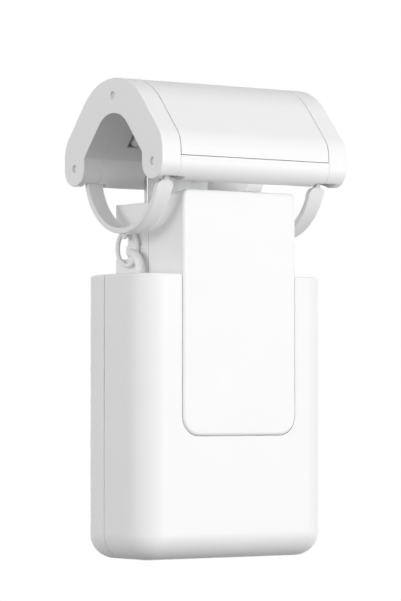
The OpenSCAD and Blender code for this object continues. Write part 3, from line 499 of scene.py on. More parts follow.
def grown(name, tree, values, points=((0, 0, 0),), edges=(), facing=None):
    """Mesh that a tree makes from points, the edges between them and the way that each one faces."""
    base = bpy.data.meshes.new(name)
    base.from_pydata(points, edges, [])
    if facing:
        attribute = base.attributes.new("facing", "FLOAT_VECTOR", "POINT")
        attribute.data.foreach_set("vector", [part for way in facing for part in way])

    def add(carrier):
        modifier = carrier.modifiers.new("nodes", "NODES")
        modifier.node_group = tree
        for socket in tree.interface.items_tree:
            if socket.in_out == "INPUT" and socket.name in values:
                value = values[socket.name]
                modifier[socket.identifier] = tuple(value) if isinstance(value, Vector) else value

    return smoothed(worked(base, add))


# Material helpers

def surface_group(name, inputs):
    """A shader group for a surface; returns its tree, its inputs and the object's coordinates."""
    tree = bpy.data.node_groups.new(name, "ShaderNodeTree")
    add_sockets(tree, "INPUT", inputs)
    add_sockets(tree, "OUTPUT", {"Colour": "Color", "Roughness": "Float", "Height": "Float"})
    return tree, add_node(tree, "NodeGroupInput").outputs, add_node(tree, "ShaderNodeTexCoord").outputs["Object"]


def end_group(tree, colour, shade, share, roughness, height):
    """Puts out a surface's colour, mixed with a shade by a share, its roughness and its height."""
    tone = add_node(tree, "ShaderNodeMix", {"Factor": share, "A": colour, "B": shade}, data_type="RGBA")
    add_node(tree, "NodeGroupOutput", {"Colour": tone.outputs["Result"], "Roughness": roughness, "Height": height})
    return tree


def moulded_surface(name):
    """Group for moulded plastic: faint tone, fine spark-eroded grain and uneven gloss."""
    tree, given, where = surface_group(name, {
        "Colour": "Color", "Tone": "Float", "Roughness": "Float", "Gloss spread": "Float", "Grain size": "Float"})
    fineness = calc(tree, "DIVIDE", 1.0, given["Grain size"])
    grain = add_node(tree, "ShaderNodeTexNoise", {"Vector": where, "Scale": fineness, "Detail": 2.0})
    clouds = add_node(tree, "ShaderNodeTexNoise", {"Vector": where, "Scale": CLOUD_SCALE, "Detail": 3.0})
    centred = calc(tree, "SUBTRACT", clouds, 0.5)
    gloss = calc(tree, "MULTIPLY_ADD", centred, given["Gloss spread"], given["Roughness"])
    darker = calc(tree, "MULTIPLY", clouds, given["Tone"])
    return end_group(tree, given["Colour"], (0, 0, 0, 1), darker, gloss, grain)


def drawn_metal(name):
    """Group for drawn or turned metal: fine streaks along one axis."""
    tree, given, where = surface_group(name, {"Colour": "Color", "Roughness": "Float", "Stretch": "Vector"})
    drawn = add_node(tree, "ShaderNodeMapping", {"Vector": where, "Scale": given["Stretch"]})
    streaks = add_node(tree, "ShaderNodeTexNoise", {"Vector": drawn, "Scale": 1.0, "Detail": 4.0})
    gloss = calc(tree, "MULTIPLY_ADD", streaks, STREAK_GLOSS, given["Roughness"])
    darker = calc(tree, "MULTIPLY", streaks, STREAK_SHADE)
    return end_group(tree, given["Colour"], (0.1, 0.1, 0.1, 1), darker, gloss, streaks)


def new_material(name):
    """An empty node material with its shader; returns the material, its tree and the shader."""
    material = bpy.data.materials.new(name)
    material.use_nodes = True
    tree = material.node_tree
    return material, tree, tree.nodes["Principled BSDF"]


def wear_group(tree, shader, name, make, bump, height, inputs):
    """Puts a surface group, made at its first use, on a shader's colour, roughness and bump."""
    used = add_node(tree, "ShaderNodeGroup", inputs, node_tree=bpy.data.node_groups.get(name) or make(name))
    relief = add_node(tree, "ShaderNodeBump", {
        "Height": used.outputs["Height"], "Strength": bump, "Distance": height})
    feed(tree, shader, {"Base Color": used, "Roughness": used.outputs["Roughness"], "Normal": relief})


def plastic(name, colour, roughness, grain=0.35 * MM, bump=0.12, tone=0.02):
    """Moulded plastic of one colour."""
    if name in bpy.data.materials:
        return bpy.data.materials[name]
    material, tree, shader = new_material(name)
    shader.inputs["Specular IOR Level"].default_value = SPECULAR
    wear_group(tree, shader, "moulded surface", moulded_surface, bump, GRAIN_HEIGHT, {
        "Colour": (*colour, 1), "Tone": tone, "Roughness": roughness, "Gloss spread": GLOSS_SPREAD,
        "Grain size": grain})
    return material


def metal(name, colour, roughness, stretch):
    """Drawn or turned metal with streaks."""
    if name in bpy.data.materials:
        return bpy.data.materials[name]
    material, tree, shader = new_material(name)
    shader.inputs["Metallic"].default_value = 1
    wear_group(tree, shader, "drawn metal", drawn_metal, STREAK_BUMP, STREAK_HEIGHT, {
        "Colour": (*colour, 1), "Roughness": roughness, "Stretch": stretch})
    return material


def finish():
    """The colours and gloss that the sidebar sets."""
    return bpy.context.scene.robot_finish


def case_white():
    return plastic("case white", finish().case_colour, finish().case_roughness)


def gate_white():
    return plastic("gate white", finish().gate_colour, finish().case_roughness + 0.04, bump=0.06)


def white_lacquer():
    return plastic("white lacquer", finish().gate_colour, 0.3, bump=0.03)


def roller_grey():
    return plastic("roller grey", finish().roller_colour, 0.35, bump=0.04)


def dark_moulding():
    return plastic("dark moulding", finish().dark_colour, 0.5, bump=0.2)


def tyre_rubber():
    return plastic("tyre rubber", finish().rubber_colour, 0.72, grain=0.5 * MM, bump=0.4, tone=0.2)


def gear_nylon():
    return plastic("gear nylon", (0.70, 0.69, 0.64), 0.42, bump=0.05)


def button_grey():
    return plastic("button grey", (0.62, 0.62, 0.62), 0.5, bump=0.1)


def plated_steel():
    return metal("plated steel", (0.62, 0.63, 0.64), 0.24, (900, 900, 120))


def motor_can():
    return metal("motor can", (0.48, 0.49, 0.50), 0.3, (600, 80, 600))


def cut_brass():
    return metal("cut brass", (0.72, 0.52, 0.22), 0.26, (700, 90, 700))


def cell_sleeve():
    """Shrunk sleeve of the battery cells: glossy film with faint wrinkles."""
    return plastic("cell sleeve", (0.05, 0.16, 0.42), 0.28, grain=1.5 * MM, bump=0.1, tone=0.1)


def solder_mask():
    """Board's green mask with copper tracks showing through as lighter lines."""
    name = "solder mask"
    if name in bpy.data.materials:
        return bpy.data.materials[name]
    material, tree, shader = new_material(name)
    where = add_node(tree, "ShaderNodeTexCoord")
    tracks = add_node(tree, "ShaderNodeTexBrick", {
        "Vector": where.outputs["Object"], "Color1": (0.01, 0.10, 0.04, 1), "Color2": (0.015, 0.13, 0.05, 1),
        "Mortar": (0.03, 0.22, 0.08, 1), "Scale": TRACK_SCALE, "Mortar Size": 0.06})
    relief = add_node(tree, "ShaderNodeBump", {
        "Height": tracks.outputs["Fac"], "Strength": 0.2, "Distance": TRACK_HEIGHT})
    feed(tree, shader, {"Base Color": tracks, "Normal": relief, "Roughness": 0.35})
    return material


def clear_pipe():
    """Clear light pipe, slightly milky."""
    material = plastic("clear pipe", (0.86, 0.90, 0.92), 0.12, bump=0.02)
    material.node_tree.nodes["Principled BSDF"].inputs["Transmission Weight"].default_value = 0.6
    return material


class ROBOT_OT_saddle(bpy.types.Operator):
    """Dress the saddle: cover, frame, end caps and gate pins"""

    bl_idname = "robot.saddle"
    bl_label = "Saddle"

    def execute(self, context):
        edges = context.scene.robot_edges
        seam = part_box("saddle_cover")[0].z
        for node, reach, by in (("saddle_cover", SEAM_REACH, edges.seam_drop),
                                ("saddle_frame", SEAM_GAP, edges.seam_drop - SEAM_OPENING)):
            mesh = node_copy(node)
            for vertex in mesh.vertices:
                if seam - reach < vertex.co.z < seam + SEAM_REACH:
                    vertex.co.z -= by
            place_case(node, worked(mesh, rounded(edges.saddle_edge), evened), "hanger")
        for side in SIDES:
            node = side + "_end_cap"
            mesh = edged(node_copy(node), edges.cap_edge, lambda point: abs(abs(point.x) - CAP_POCKET) < WELD)
            place_case(node, mesh, "hanger")
        moulded("gate_pins", "hanger", white_lacquer(), edges.saddle_edge)
        return {"FINISHED"}


class ROBOT_OT_gates(bpy.types.Operator):
    """Dress the gates that close the channel"""

    bl_idname = "robot.gates"
    bl_label = "Gates"

    def execute(self, context):
        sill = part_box("saddle_frame")[0].z
        head = sill - GATE_SHOULDER - CUT
        for side in SIDES:
            node = side + "_gate"
            low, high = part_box(node)
            middle = (low.x + high.x) / 2
            half = (high.x - low.x) / 2
            top = high.z + CUT
            outline = [(half + CUT, top), (half + CUT, sill - GATE_SHOULDER)]
            outline += [(half - GATE_SHOULDER * (1 - math.cos(turn)), sill - GATE_SHOULDER * (1 - math.sin(turn)))
                        for turn in quarter(SHOULDER_STEPS)]
            outline += [(GATE_TAB / 2, sill), (GATE_TAB / 2, top)]
            shoulders = [prism("gate shoulder", [(middle + way * out, z) for out, z in outline],
                               low.y - CUT, low.y + GATE_END, 1) for way in (-1, 1)]
            mesh = edged(cut_out(node_copy(node), shoulders), context.scene.robot_edges.gate_edge,
                         lambda point: point.z > head and point.y < low.y + GATE_END)
            place(node, "_moulded", finished(mesh, gate_white()), node)
        return {"FINISHED"}


class ROBOT_OT_neck(bpy.types.Operator):
    """Dress the neck: front cover with its strap, and rear shell"""

    bl_idname = "robot.neck"
    bl_label = "Neck"

    def execute(self, context):
        edges = context.scene.robot_edges
        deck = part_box("front_shell")[1].z
        cover_low, cover_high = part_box("front_cover")
        lip = cover_high.z - LIP_CORNER - WELD
        mesh = edged(self.drawn_cover(context.scene.robot_shells), edges.neck_edge, lambda point: (
            point.y > cover_low.y + WELD and (point.z > lip or abs(point.z - deck) < WELD)),
            edges.shell_edge / edges.neck_edge)
        place_case("front_cover", mesh, "drive_unit")
        peg_low, peg_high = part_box("ring_pegs")
        mesh = edged(node_copy("neck_rear_shell"), edges.shell_edge, lambda point: (
            peg_low.y - CUT < point.y < peg_high.y + CUT and peg_low.z - CUT < point.z < peg_high.z + CUT))
        place_case("neck_rear_shell", mesh, "drive_unit")
        return {"FINISHED"}

    def drawn_cover(self, form):
        """The front cover's copy, with its lip drawn up at the front and the strap's end drawn down."""
        mesh = node_copy("front_cover")
        low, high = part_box("front_cover")
        base = high.z - LIP_CORNER
        for vertex in mesh.vertices:
            x, y, z = vertex.co
            share = min(max((LIP_BACK - y) / (LIP_BACK - low.y), 0), 1)
            if z < low.z + STRAP_END:
                vertex.co.z -= form.strap_drop
            elif share > 0 and z > base - WELD:
                radius = LIP_CORNER + share * (form.lip_corner - LIP_CORNER)
                outward = abs(x) - high.x + LIP_CORNER
                if outward > 0:
                    vertex.co.x = math.copysign(high.x - radius + outward * radius / LIP_CORNER, x)
                    z = high.z - radius + (z - base) * radius / LIP_CORNER
                vertex.co.z = z + share * form.lip_rise
        return mesh


def fallen(back, deep, height):
    """How far a quarter ellipse has fallen short of its height, at a distance behind its tip."""
    ahead = max(1 - back / deep, 0)
    return height * (1 - math.sqrt(1 - ahead * ahead))


def shell_rings(face, seam, edge, foot, inset, lip):
    """Outlines of a shell from its flat face to its seam, moved inward by inset; each runs from the top left
    round the lower corners to the top right."""
    form = bpy.context.scene.robot_shells
    low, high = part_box("front_shell")
    along = 1 if seam > face else -1
    depth = abs(seam - face)
    wide = form.side_edge - inset
    corner = form.corner - inset
    stations = []
    for turn in quarter(form.steps):
        back = (max(edge, foot) - inset) * (1 - math.cos(turn))
        stations.append((inset + back, fallen(back, edge - inset, wide), fallen(back, foot - inset, corner), 0))
    for turn in quarter(LIP_STEPS) if lip else [0]:
        fall = lip * (1 - math.cos(turn))
        stations.append((depth - lip + lip * math.sin(turn), fall, fall, fall))
    rings = []
    for back, draw_in, rise, sink in stations:
        half = high.x - inset - draw_in
        foot_z = low.z + inset + rise
        radius = max(corner - max(draw_in * corner / wide, rise), 0)
        y = face + along * back
        top = high.z - inset - sink
        ring = [(-half, y, top)]
        for side, first in ((-1, math.pi), (1, 1.5 * math.pi)):
            for turn in quarter(form.steps):
                ring.append((side * (half - radius) + radius * math.cos(first + turn), y,
                             foot_z + radius * (1 + math.sin(first + turn))))
        rings.append(ring + [(half, y, top)])
    return rings


def skin(bm, rings):
    """Walls between outlines that follow each other; returns their points."""
    rows = [[bm.verts.new(point) for point in ring] for ring in rings]
    for near, far in zip(rows, rows[1:]):
        for k in range(len(near) - 1):
            bm.faces.new((near[k], near[k + 1], far[k + 1], far[k]))
    bm.faces.new(rows[0])
    return rows


def bevel_edges(bm, edges, radius, steps, clamp):
    """Rounds edges of a bmesh."""
    bmesh.ops.bevel(bm, geom=edges, offset=radius, offset_type="OFFSET", segments=steps, profile=0.5,
                    affect="EDGES", clamp_overlap=clamp)


def shell_cup(name, face, seam, edge, foot):
    """Mesh of one shell: an open box with large rounded edges and a rounded lip at its seam."""
    scene = bpy.context.scene
    lip = scene.robot_edges.shell_edge
    bm = bmesh.new()
    outer = skin(bm, shell_rings(face, seam, edge, foot, 0, lip))
    inner = skin(bm, shell_rings(face, seam, edge, foot, scene.robot_shells.wall, 0))
    flat = len(outer) - LIP_STEPS
    bm.faces.new([row[0] for row in outer[:flat]] + [row[-1] for row in reversed(outer[:flat])])
    for near, far in zip(outer[flat - 1:], outer[flat:]):
        bm.faces.new((near[0], far[0], far[-1], near[-1]))
    bm.faces.new([row[0] for row in inner] + [row[-1] for row in reversed(inner)])
    out_rim, in_rim = outer[-1], inner[-1]
    for k in range(len(out_rim)):
        bm.faces.new((out_rim[k - 1], out_rim[k], in_rim[k], in_rim[k - 1]))
    bmesh.ops.remove_doubles(bm, verts=bm.verts, dist=WELD / 10)
    bmesh.ops.recalc_face_normals(bm, faces=bm.faces)
    top = [bm.edges.get((outer[0][0], outer[0][-1]))]
    for near, far in zip(outer, outer[1:]):
        top += [bm.edges.get((near[0], far[0])), bm.edges.get((near[-1], far[-1]))]
    bevel_edges(bm, top, scene.robot_shells.top_edge, TOP_STEPS, False)
    return mesh_of(bm, name)


def soften_openings(mesh, way, radius):
    """Rounds the rims where openings meet the flat outside that faces a way, and closes slivers left by the cuts."""
    way = Vector(way)
    bm = bmesh.new()
    bm.from_mesh(mesh)
    outside = max(vertex.co.dot(way) for vertex in bm.verts)
    rims = []
    for edge in bm.edges:
        if len(edge.link_faces) == 2 and all(abs(v.co.dot(way) - outside) < WELD for v in edge.verts):
            slopes = sorted(face.normal.dot(way) for face in edge.link_faces)
            if slopes[1] > FACES_OUT and abs(slopes[0]) < FACES_ACROSS:
                rims.append(edge)
    bevel_edges(bm, rims, radius, RIM_STEPS, True)
    bmesh.ops.holes_fill(bm, edges=[edge for edge in bm.edges if edge.is_boundary], sides=4)
    return mesh_of(bm, mesh.name)


def shell_screw_places():
    """Where the shell screws stand, as x and z."""
    low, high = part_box("shell_screws")
    head = bpy.context.scene.robot_fittings.shell_head / 2
    return [(x, z) for x in (low.x + head, high.x - head) for z in (low.z + head, high.z - head)]


class ROBOT_OT_body(bpy.types.Operator):
    """Build the body's front and rear shells with their openings"""

    bl_idname = "robot.body"
    bl_label = "Body shells"

    def execute(self, context):
        form = context.scene.robot_shells
        edge = context.scene.robot_edges.shell_edge
        self.front_shell(form, edge)
        self.rear_shell(form, edge)
        return {"FINISHED"}

    def deck_opening(self, form, start, end):
        """Opening in the body's top, under the neck."""
        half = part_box("inner_frame")[1].x + DECK_GAP
        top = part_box("front_shell")[1].z
        outline = rounded_outline((-half, start), (half, end), (0, 0, 0, 0))
        return prism("deck opening", outline, top - 2 * form.wall, top + form.wall, 2)

    def front_shell(self, form, edge):
        low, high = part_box("front_shell")
        cover_low, cover_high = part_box("front_cover")
        side = cover_high.x + form.strap_gap
        foot = cover_low.z - form.strap_drop - form.strap_gap
        corner = form.strap_corner + form.strap_gap
        seat = rounded_outline((-side, foot), (side, high.z + form.wall), (corner, corner, 0, 0))
        floor = low.y + form.strap_sink
        forms = [prism("strap seat", seat, low.y - form.wall, floor, 1),
                 self.deck_opening(form, floor + form.wall, high.y + form.wall)]
        for node, gap in (("charge_port", PORT_GAP), ("setting_button", BUTTON_GAP - BUTTON_FLANGE),
                          ("light_pipe", PIPE_GAP - PIPE_FLANGE)):
            start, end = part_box(node)
            half = (end - start) / 2 + Vector((gap, gap, 0))
            middle = (start + end) / 2
            outline = rounded_outline((middle.x - half.x, middle.y - half.y),
                                      (middle.x + half.x, middle.y + half.y), [min(half.x, half.y)] * 4)
            forms.append(prism(node + " opening", outline, low.z - form.wall, low.z + 2 * form.wall, 2))
        mesh = cut_out(shell_cup("front_shell", low.y, high.y, form.front_edge, form.front_foot), forms)
        for way in ((0, -1, 0), (0, 0, -1)):
            mesh = soften_openings(mesh, way, edge)
        place_case("front_shell", worked(mesh, evened), "drive_unit")

    def rear_shell(self, form, edge):
        low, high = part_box("rear_shell")
        half = bpy.context.scene.robot_fittings.shell_head / 2 + HEAD_GAP
        forms = [self.deck_opening(form, low.y - form.wall, high.y - form.wall)]
        for x, z in shell_screw_places():
            outline = rounded_outline((x - half, z - half), (x + half, z + half), [half] * 4)
            forms.append(prism("screw well", outline, high.y - SCREW_WELL * form.wall, high.y + form.wall, 1))
        mesh = cut_out(shell_cup("rear_shell", high.y, low.y, form.rear_edge, form.rear_foot), forms)
        place_case("rear_shell", worked(soften_openings(mesh, (0, 1, 0), edge), evened), "drive_unit")


def screw_tree(name, add_recess):
    """Tree that puts a screw at each point: a sunk head with a broken edge and a recess, and a shank behind."""
    tree, given = new_tree(name, ("Head", "Head height", "Shank", "Length", "Recess"))
    head = cylinder(tree, 48, given["Head"], given["Head height"])
    lifted = add_node(tree, "GeometryNodeExtrudeMesh", {
        "Mesh": head, "Selection": head.outputs["Top"], "Offset Scale": HEAD_BREAK})
    broken = add_node(tree, "GeometryNodeScaleElements", {
        "Geometry": lifted, "Selection": lifted.outputs["Top"], "Scale": HEAD_TOP})
    cut = add_node(tree, "GeometryNodeMeshBoolean", {
        "Mesh 1": broken, "Mesh 2": add_recess(tree, given)}, operation="DIFFERENCE", solver="EXACT")
    seated = raised(tree, cut, calc(tree, "MULTIPLY_ADD", given["Head height"], -0.5, -HEAD_BREAK))
    stem = cylinder(tree, 32, given["Shank"], given["Length"])
    reach = calc(tree, "MULTIPLY_ADD", given["Length"], 0.5, given["Head height"])
    shank = raised(tree, stem, calc(tree, "MULTIPLY", reach, -1.0))
    facing = add_node(tree, "GeometryNodeInputNamedAttribute", {"Name": "facing"}, data_type="FLOAT_VECTOR")
    turn = add_node(tree, "FunctionNodeAlignRotationToVector", {"Vector": facing}, axis="Z")
    screws = add_node(tree, "GeometryNodeInstanceOnPoints", {
        "Points": given["Geometry"], "Instance": joined(tree, seated, shank), "Rotation": turn})
    return end_tree(tree, given, screws)


def cross_recess(tree, given):
    """Cross in the head's face."""
    bar = add_node(tree, "ShaderNodeCombineXYZ", {"X": given["Recess"], "Y": CROSS_BAR, "Z": given["Head height"]})
    first = add_node(tree, "GeometryNodeMeshCube", {"Size": bar})
    second = moved(tree, first, rotation=(0, 0, math.pi / 2))
    both = add_node(tree, "GeometryNodeMeshBoolean", {"Mesh 2": joined(tree, first, second)},
                    operation="UNION", solver="EXACT")
    return raised(tree, both, half_of(tree, given["Head height"]))


def socket_recess(tree, given):
    """Six-sided socket in the head's face."""
    socket = cylinder(tree, 6, given["Recess"], given["Head height"])
    return raised(tree, socket, calc(tree, "MULTIPLY", given["Head height"], SOCKET_LIFT))


class ROBOT_OT_screws(bpy.types.Operator):
    """Grow the screws in the rear shell and in the end caps"""

    bl_idname = "robot.screws"
    bl_label = "Screws"

    def execute(self, context):
        fittings = context.scene.robot_fittings
        low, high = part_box("shell_screws")
        places = [(x, high.y, z) for x, z in shell_screw_places()]
        self.grow("shell_screws", "drive_unit", screw_tree("cross-head screws", cross_recess), fittings.shell_head,
                  fittings.shell_head / 2, high.y - low.y, plated_steel(), places, [(0, 1, 0)] * len(places))
        low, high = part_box("cap_screws")
        places = [(x, (low.y + high.y) / 2, (low.z + high.z) / 2) for x in (low.x, high.x)]
        self.grow("cap_screws", "hanger", screw_tree("socket screws", socket_recess), fittings.cap_head,
                  CAP_SHANK * fittings.cap_head, CAP_SCREW_LENGTH, white_lacquer(), places, [(-1, 0, 0), (1, 0, 0)])
        return {"FINISHED"}

    def grow(self, node, body, tree, head, shank, reach, material, places, facing):
        """Grows screws of one kind at places, each facing its own way."""
        mesh = grown(node, tree, {
            "Head": head, "Head height": HEAD_HEIGHT, "Shank": shank, "Length": reach - HEAD_HEIGHT,
            "Recess": RECESS * head, "Finish": material}, places, facing=facing)
        place(node, "_turned", mesh, body)


def hook_tree():
    """Tree that bends a wire along a path, rounds its tip and sets one on each side."""
    tree, given = new_tree("wire hooks", ("Wire", "Bend"), ("Tip", "Left foot", "Spread"))
    path = add_node(tree, "GeometryNodeMeshToCurve", {"Mesh": given["Geometry"]})
    bent = add_node(tree, "GeometryNodeFilletCurve", {
        "Curve": path, "Count": 10, "Radius": given["Bend"]}, mode="POLY")
    wire = round_wire(tree, bent, given["Wire"], 24)
    ball = add_node(tree, "GeometryNodeMeshUVSphere", {
        "Segments": 24, "Rings": 16, "Radius": half_of(tree, given["Wire"])})
    return on_both_sides(tree, given, joined(tree, wire, moved(tree, ball, given["Tip"])))


def ring_tree():
    """Tree that closes a wire into a ring round the long axis."""
    tree, given = new_tree("wire ring", ("Ring", "Wire"), ("Centre",))
    wire = round_wire(tree, circle(tree, 96, given["Ring"]), given["Wire"], 20)
    return end_tree(tree, given, moved(tree, wire, given["Centre"], (0, math.pi / 2, 0)))


class ROBOT_OT_tow_fittings(bpy.types.Operator):
    """Grow the tow hooks and the tow rings, and dress their pegs"""

    bl_idname = "robot.tow_fittings"
    bl_label = "Tow fittings"

    def execute(self, context):
        fittings = context.scene.robot_fittings
        low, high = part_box("tow_hooks")
        wire = fittings.hook_wire
        left = low.x + wire / 2
        foot_y = low.y + wire / 2
        tip = Vector((0, high.y - low.y - wire, high.z - low.z - wire / 2))
        mesh = grown("tow_hooks", hook_tree(), {
            "Wire": wire, "Bend": fittings.hook_bend, "Tip": tip, "Left foot": Vector((left, foot_y, low.z)),
            "Spread": Vector((-2 * left, 0, 0)), "Finish": gate_white()},
            points=((0, 0, 0), (0, 0, tip.z), tuple(tip)), edges=((0, 1), (1, 2)))
        place("tow_hooks", "_bent", mesh, "drive_unit")
        tree = ring_tree()
        for side in SIDES:
            node = side + "_tow_ring"
            low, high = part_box(node)
            mesh = grown(node, tree, {
                "Ring": (high.z - low.z - fittings.ring_wire) / 2, "Wire": fittings.ring_wire,
                "Centre": (low + high) / 2, "Finish": gate_white()})
            place(node, "_drawn", mesh, node)
        moulded("ring_pegs", "drive_unit", white_lacquer(), PEG_EDGE)
        return {"FINISHED"}


class ROBOT_OT_rollers(bpy.types.Operator):
    """Dress the rollers in the saddle and their axles"""

    bl_idname = "robot.rollers"
    bl_label = "Rollers"

    def execute(self, context):
        for end in ("front", "rear"):
            for side in SIDES:
                node = end + "_" + side + "_roller"
                moulded(node, node, roller_grey(), ROLLER_EDGE)
        finish_nodes(plated_steel(), "roller_axles")
        return {"FINISHED"}


class ROBOT_OT_drive(bpy.types.Operator):
    """Dress the drive: wheel, gears, motor, spine and inner frame"""

    bl_idname = "robot.drive"
    bl_label = "Drive"

    def execute(self, context):
        moulded("spine", "hanger", plated_steel(), SPINE_EDGE)
        finish_nodes(plated_steel(), "spine_screws", "frame_screws", "wheel_bearings", "idler_pin", "wheel_axle",
                     "motor_shaft")
        finish_nodes(dark_moulding(), "inner_frame", "wheel_hub")
        moulded("wheel_tyre", "drive_wheel", tyre_rubber(), TYRE_EDGE)
        finish_nodes(gear_nylon(), "wheel_gear", "idler_gear")
        finish_nodes(cut_brass(), "motor_pinion")
        finish_nodes(motor_can(), "motor")
        return {"FINISHED"}


def spring_tree():
    """Tree that winds a wire into a spring with a closed turn at each end, one on each side."""
    tree, given = new_tree("wound springs", ("Wire", "Mean radius", "Height", "Turns"), ("Left foot", "Spread"))
    coil = add_node(tree, "GeometryNodeCurveSpiral", {
        "Resolution": 28, "Rotations": given["Turns"], "Start Radius": given["Mean radius"],
        "End Radius": given["Mean radius"], "Height": given["Height"]})
    wire = round_wire(tree, coil, given["Wire"], 10)
    closed = round_wire(tree, circle(tree, 28, given["Mean radius"]), given["Wire"], 10)
    return on_both_sides(tree, given, joined(tree, wire, closed, raised(tree, closed, given["Height"])))


class ROBOT_OT_springs(bpy.types.Operator):
    """Wind the lift springs"""

    bl_idname = "robot.springs"
    bl_label = "Lift springs"

    def execute(self, context):
        fittings = context.scene.robot_fittings
        low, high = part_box("lift_springs")
        wire = fittings.spring_wire
        height = high.z - low.z
        outside = (high.y - low.y) / 2
        left = Vector((low.x + outside, (low.y + high.y) / 2, low.z + wire / 2))
        mesh = grown("lift_springs", spring_tree(), {
            "Wire": wire, "Mean radius": outside - wire / 2, "Height": height - wire,
            "Turns": float(fittings.spring_turns), "Left foot": left, "Spread": Vector((-2 * left.x, 0, 0)),
            "Finish": plated_steel()})
        springs = place("lift_springs", "_wound", mesh, "hanger")
        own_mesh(springs)
        return {"FINISHED"}


class ROBOT_OT_power(bpy.types.Operator):
    """Dress the battery, the board and the controls"""

    bl_idname = "robot.power"
    bl_label = "Power and controls"

    def execute(self, context):
        finish_nodes(dark_moulding(), "battery_tray", "button_switch")
        finish_nodes(cell_sleeve(), "battery_cells")
        finish_nodes(solder_mask(), "main_board")
        finish_nodes(plated_steel(), "charge_port")
        finish_nodes(clear_pipe(), "light_pipe")
        moulded("setting_button", "setting_button", button_grey(), BUTTON_EDGE)
        return {"FINISHED"}


# Stage

def look_from(point, target):
    """Matrix of a lamp or camera at a point, looking at a target."""
    turn = (target - point).to_track_quat("-Z", "Y")
    return Matrix.Translation(point) @ turn.to_matrix().to_4x4()


def seen_share(tree):
    """Value that is 1 for rays that the eye follows: straight, mirrored or through glass."""
    path = add_node(tree, "ShaderNodeLightPath").outputs
    straight = calc(tree, "MAXIMUM", path["Is Camera Ray"], path["Is Glossy Ray"])
    return calc(tree, "MAXIMUM", straight, path["Is Transmission Ray"])


def set_world():
    """White surroundings for the eye, with soft light that comes from low down."""
    world = bpy.data.worlds.new("studio")
    bpy.context.scene.world = world
    world.use_nodes = True
    tree = world.node_tree
    tree.nodes.clear()
    where = add_node(tree, "ShaderNodeTexCoord").outputs["Generated"]
    split = add_node(tree, "ShaderNodeSeparateXYZ", {0: where})
    rise = add_node(tree, "ShaderNodeMapRange", {
        "Value": split.outputs["Z"], "From Min": -0.5, "From Max": 0.5, "To Min": LOW_LIGHT, "To Max": HIGH_LIGHT})
    light = add_node(tree, "ShaderNodeBackground", {"Color": WHITE, "Strength": rise})
    white = add_node(tree, "ShaderNodeBackground", {"Color": WHITE, "Strength": 1.0})
    mixed = add_node(tree, "ShaderNodeMixShader", {0: seen_share(tree), 1: light, 2: white})
    add_node(tree, "ShaderNodeOutputWorld", {"Surface": mixed})


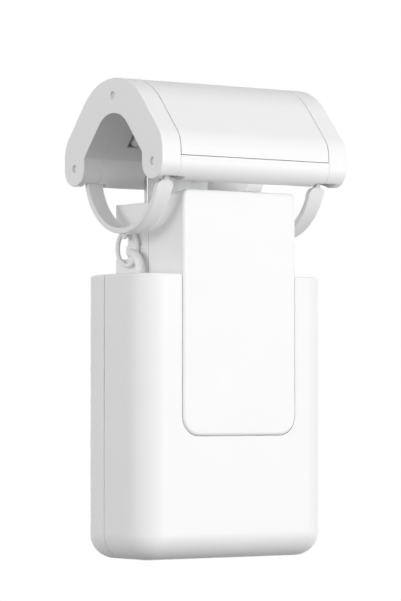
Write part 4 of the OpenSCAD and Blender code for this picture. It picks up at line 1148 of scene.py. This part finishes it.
class ROBOT_OT_stage(bpy.types.Operator):
    """Set up the camera, the lamps, the surroundings and the floor"""

    bl_idname = "robot.stage"
    bl_label = "Stage"

    def execute(self, context):
        scene = context.scene
        stage = scene.robot_stage
        right = Vector((math.cos(stage.yaw), -math.sin(stage.yaw), 0))
        back = Vector((-math.sin(stage.yaw), -math.cos(stage.yaw), 0))
        camera = linked("camera", bpy.data.cameras.new("camera"))
        camera.data.lens = stage.lens
        camera.data.clip_start = CLIP_START
        camera.matrix_world = look_from(back * stage.distance + Vector((0, 0, stage.height)),
                                        right * stage.aim_right + Vector((0, 0, stage.aim_up)))
        scene.camera = camera
        scene.view_settings.view_transform = "Standard"
        middle = (cad_low + cad_high) / 2
        for name, power, offset in LAMPS:
            lamp = linked(name, bpy.data.lights.new(name, "AREA"))
            lamp.data.size = LAMP_SIZE
            lamp.data.energy = getattr(stage, power)
            lamp.matrix_world = look_from(middle + Vector(offset), middle)
        set_world()
        bm = bmesh.new()
        bmesh.ops.create_circle(bm, cap_ends=True, segments=FLOOR_SIDES, radius=FLOOR_RADIUS,
                                matrix=Matrix.Translation((0, 0, -stage.floor_drop)))
        floor = linked("floor", mesh_of(bm, "floor"))
        material, tree, shader = new_material("pale floor")
        seen = seen_share(tree)
        tone = add_node(tree, "ShaderNodeMix", {"Factor": seen, "A": FLOOR_TONE, "B": FLOOR_SEEN_TONE},
                        data_type="RGBA")
        feed(tree, shader, {
            "Base Color": tone.outputs["Result"], "Roughness": FLOOR_ROUGHNESS, "Emission Color": WHITE,
            "Emission Strength": calc(tree, "MULTIPLY", seen, FLOOR_GLOW)})
        floor.data.materials.append(material)
        return {"FINISHED"}


class VIEW3D_PT_robot(bpy.types.Panel):
    """Sidebar panel with the robot's sizes, finishes and pieces"""

    bl_idname = "VIEW3D_PT_robot"
    bl_label = "Hanging Drive Robot"
    bl_space_type = "VIEW_3D"
    bl_region_type = "UI"
    bl_category = "Robot"

    def draw(self, context):
        for operator in OPERATORS:
            self.layout.operator(operator.bl_idname)
        for name in GROUPS:
            group = getattr(context.scene, name)
            for key in group.__annotations__:
                self.layout.prop(group, key)


OPERATORS = (ROBOT_OT_saddle, ROBOT_OT_gates, ROBOT_OT_neck, ROBOT_OT_body, ROBOT_OT_screws,
             ROBOT_OT_tow_fittings, ROBOT_OT_rollers, ROBOT_OT_drive, ROBOT_OT_springs, ROBOT_OT_power,
             ROBOT_OT_stage)
GROUPS = {"robot_finish": RobotFinish, "robot_edges": RobotEdges, "robot_shells": RobotShells,
          "robot_fittings": RobotFittings, "robot_stage": RobotStage}
CLASSES = (*GROUPS.values(), *OPERATORS, VIEW3D_PT_robot)


def register():
    for cls in CLASSES:
        bpy.utils.register_class(cls)
    for name, group in GROUPS.items():
        setattr(bpy.types.Scene, name, PointerProperty(type=group))


def unregister():
    for name in GROUPS:
        delattr(bpy.types.Scene, name)
    for cls in reversed(CLASSES):
        bpy.utils.unregister_class(cls)


def main():
    register()
    bpy.ops.robot.saddle()
    bpy.ops.robot.gates()
    bpy.ops.robot.neck()
    bpy.ops.robot.body()
    bpy.ops.robot.screws()
    bpy.ops.robot.tow_fittings()
    bpy.ops.robot.rollers()
    bpy.ops.robot.drive()
    bpy.ops.robot.springs()
    bpy.ops.robot.power()
    bpy.ops.robot.stage()


if __name__ == "__main__":
    main()
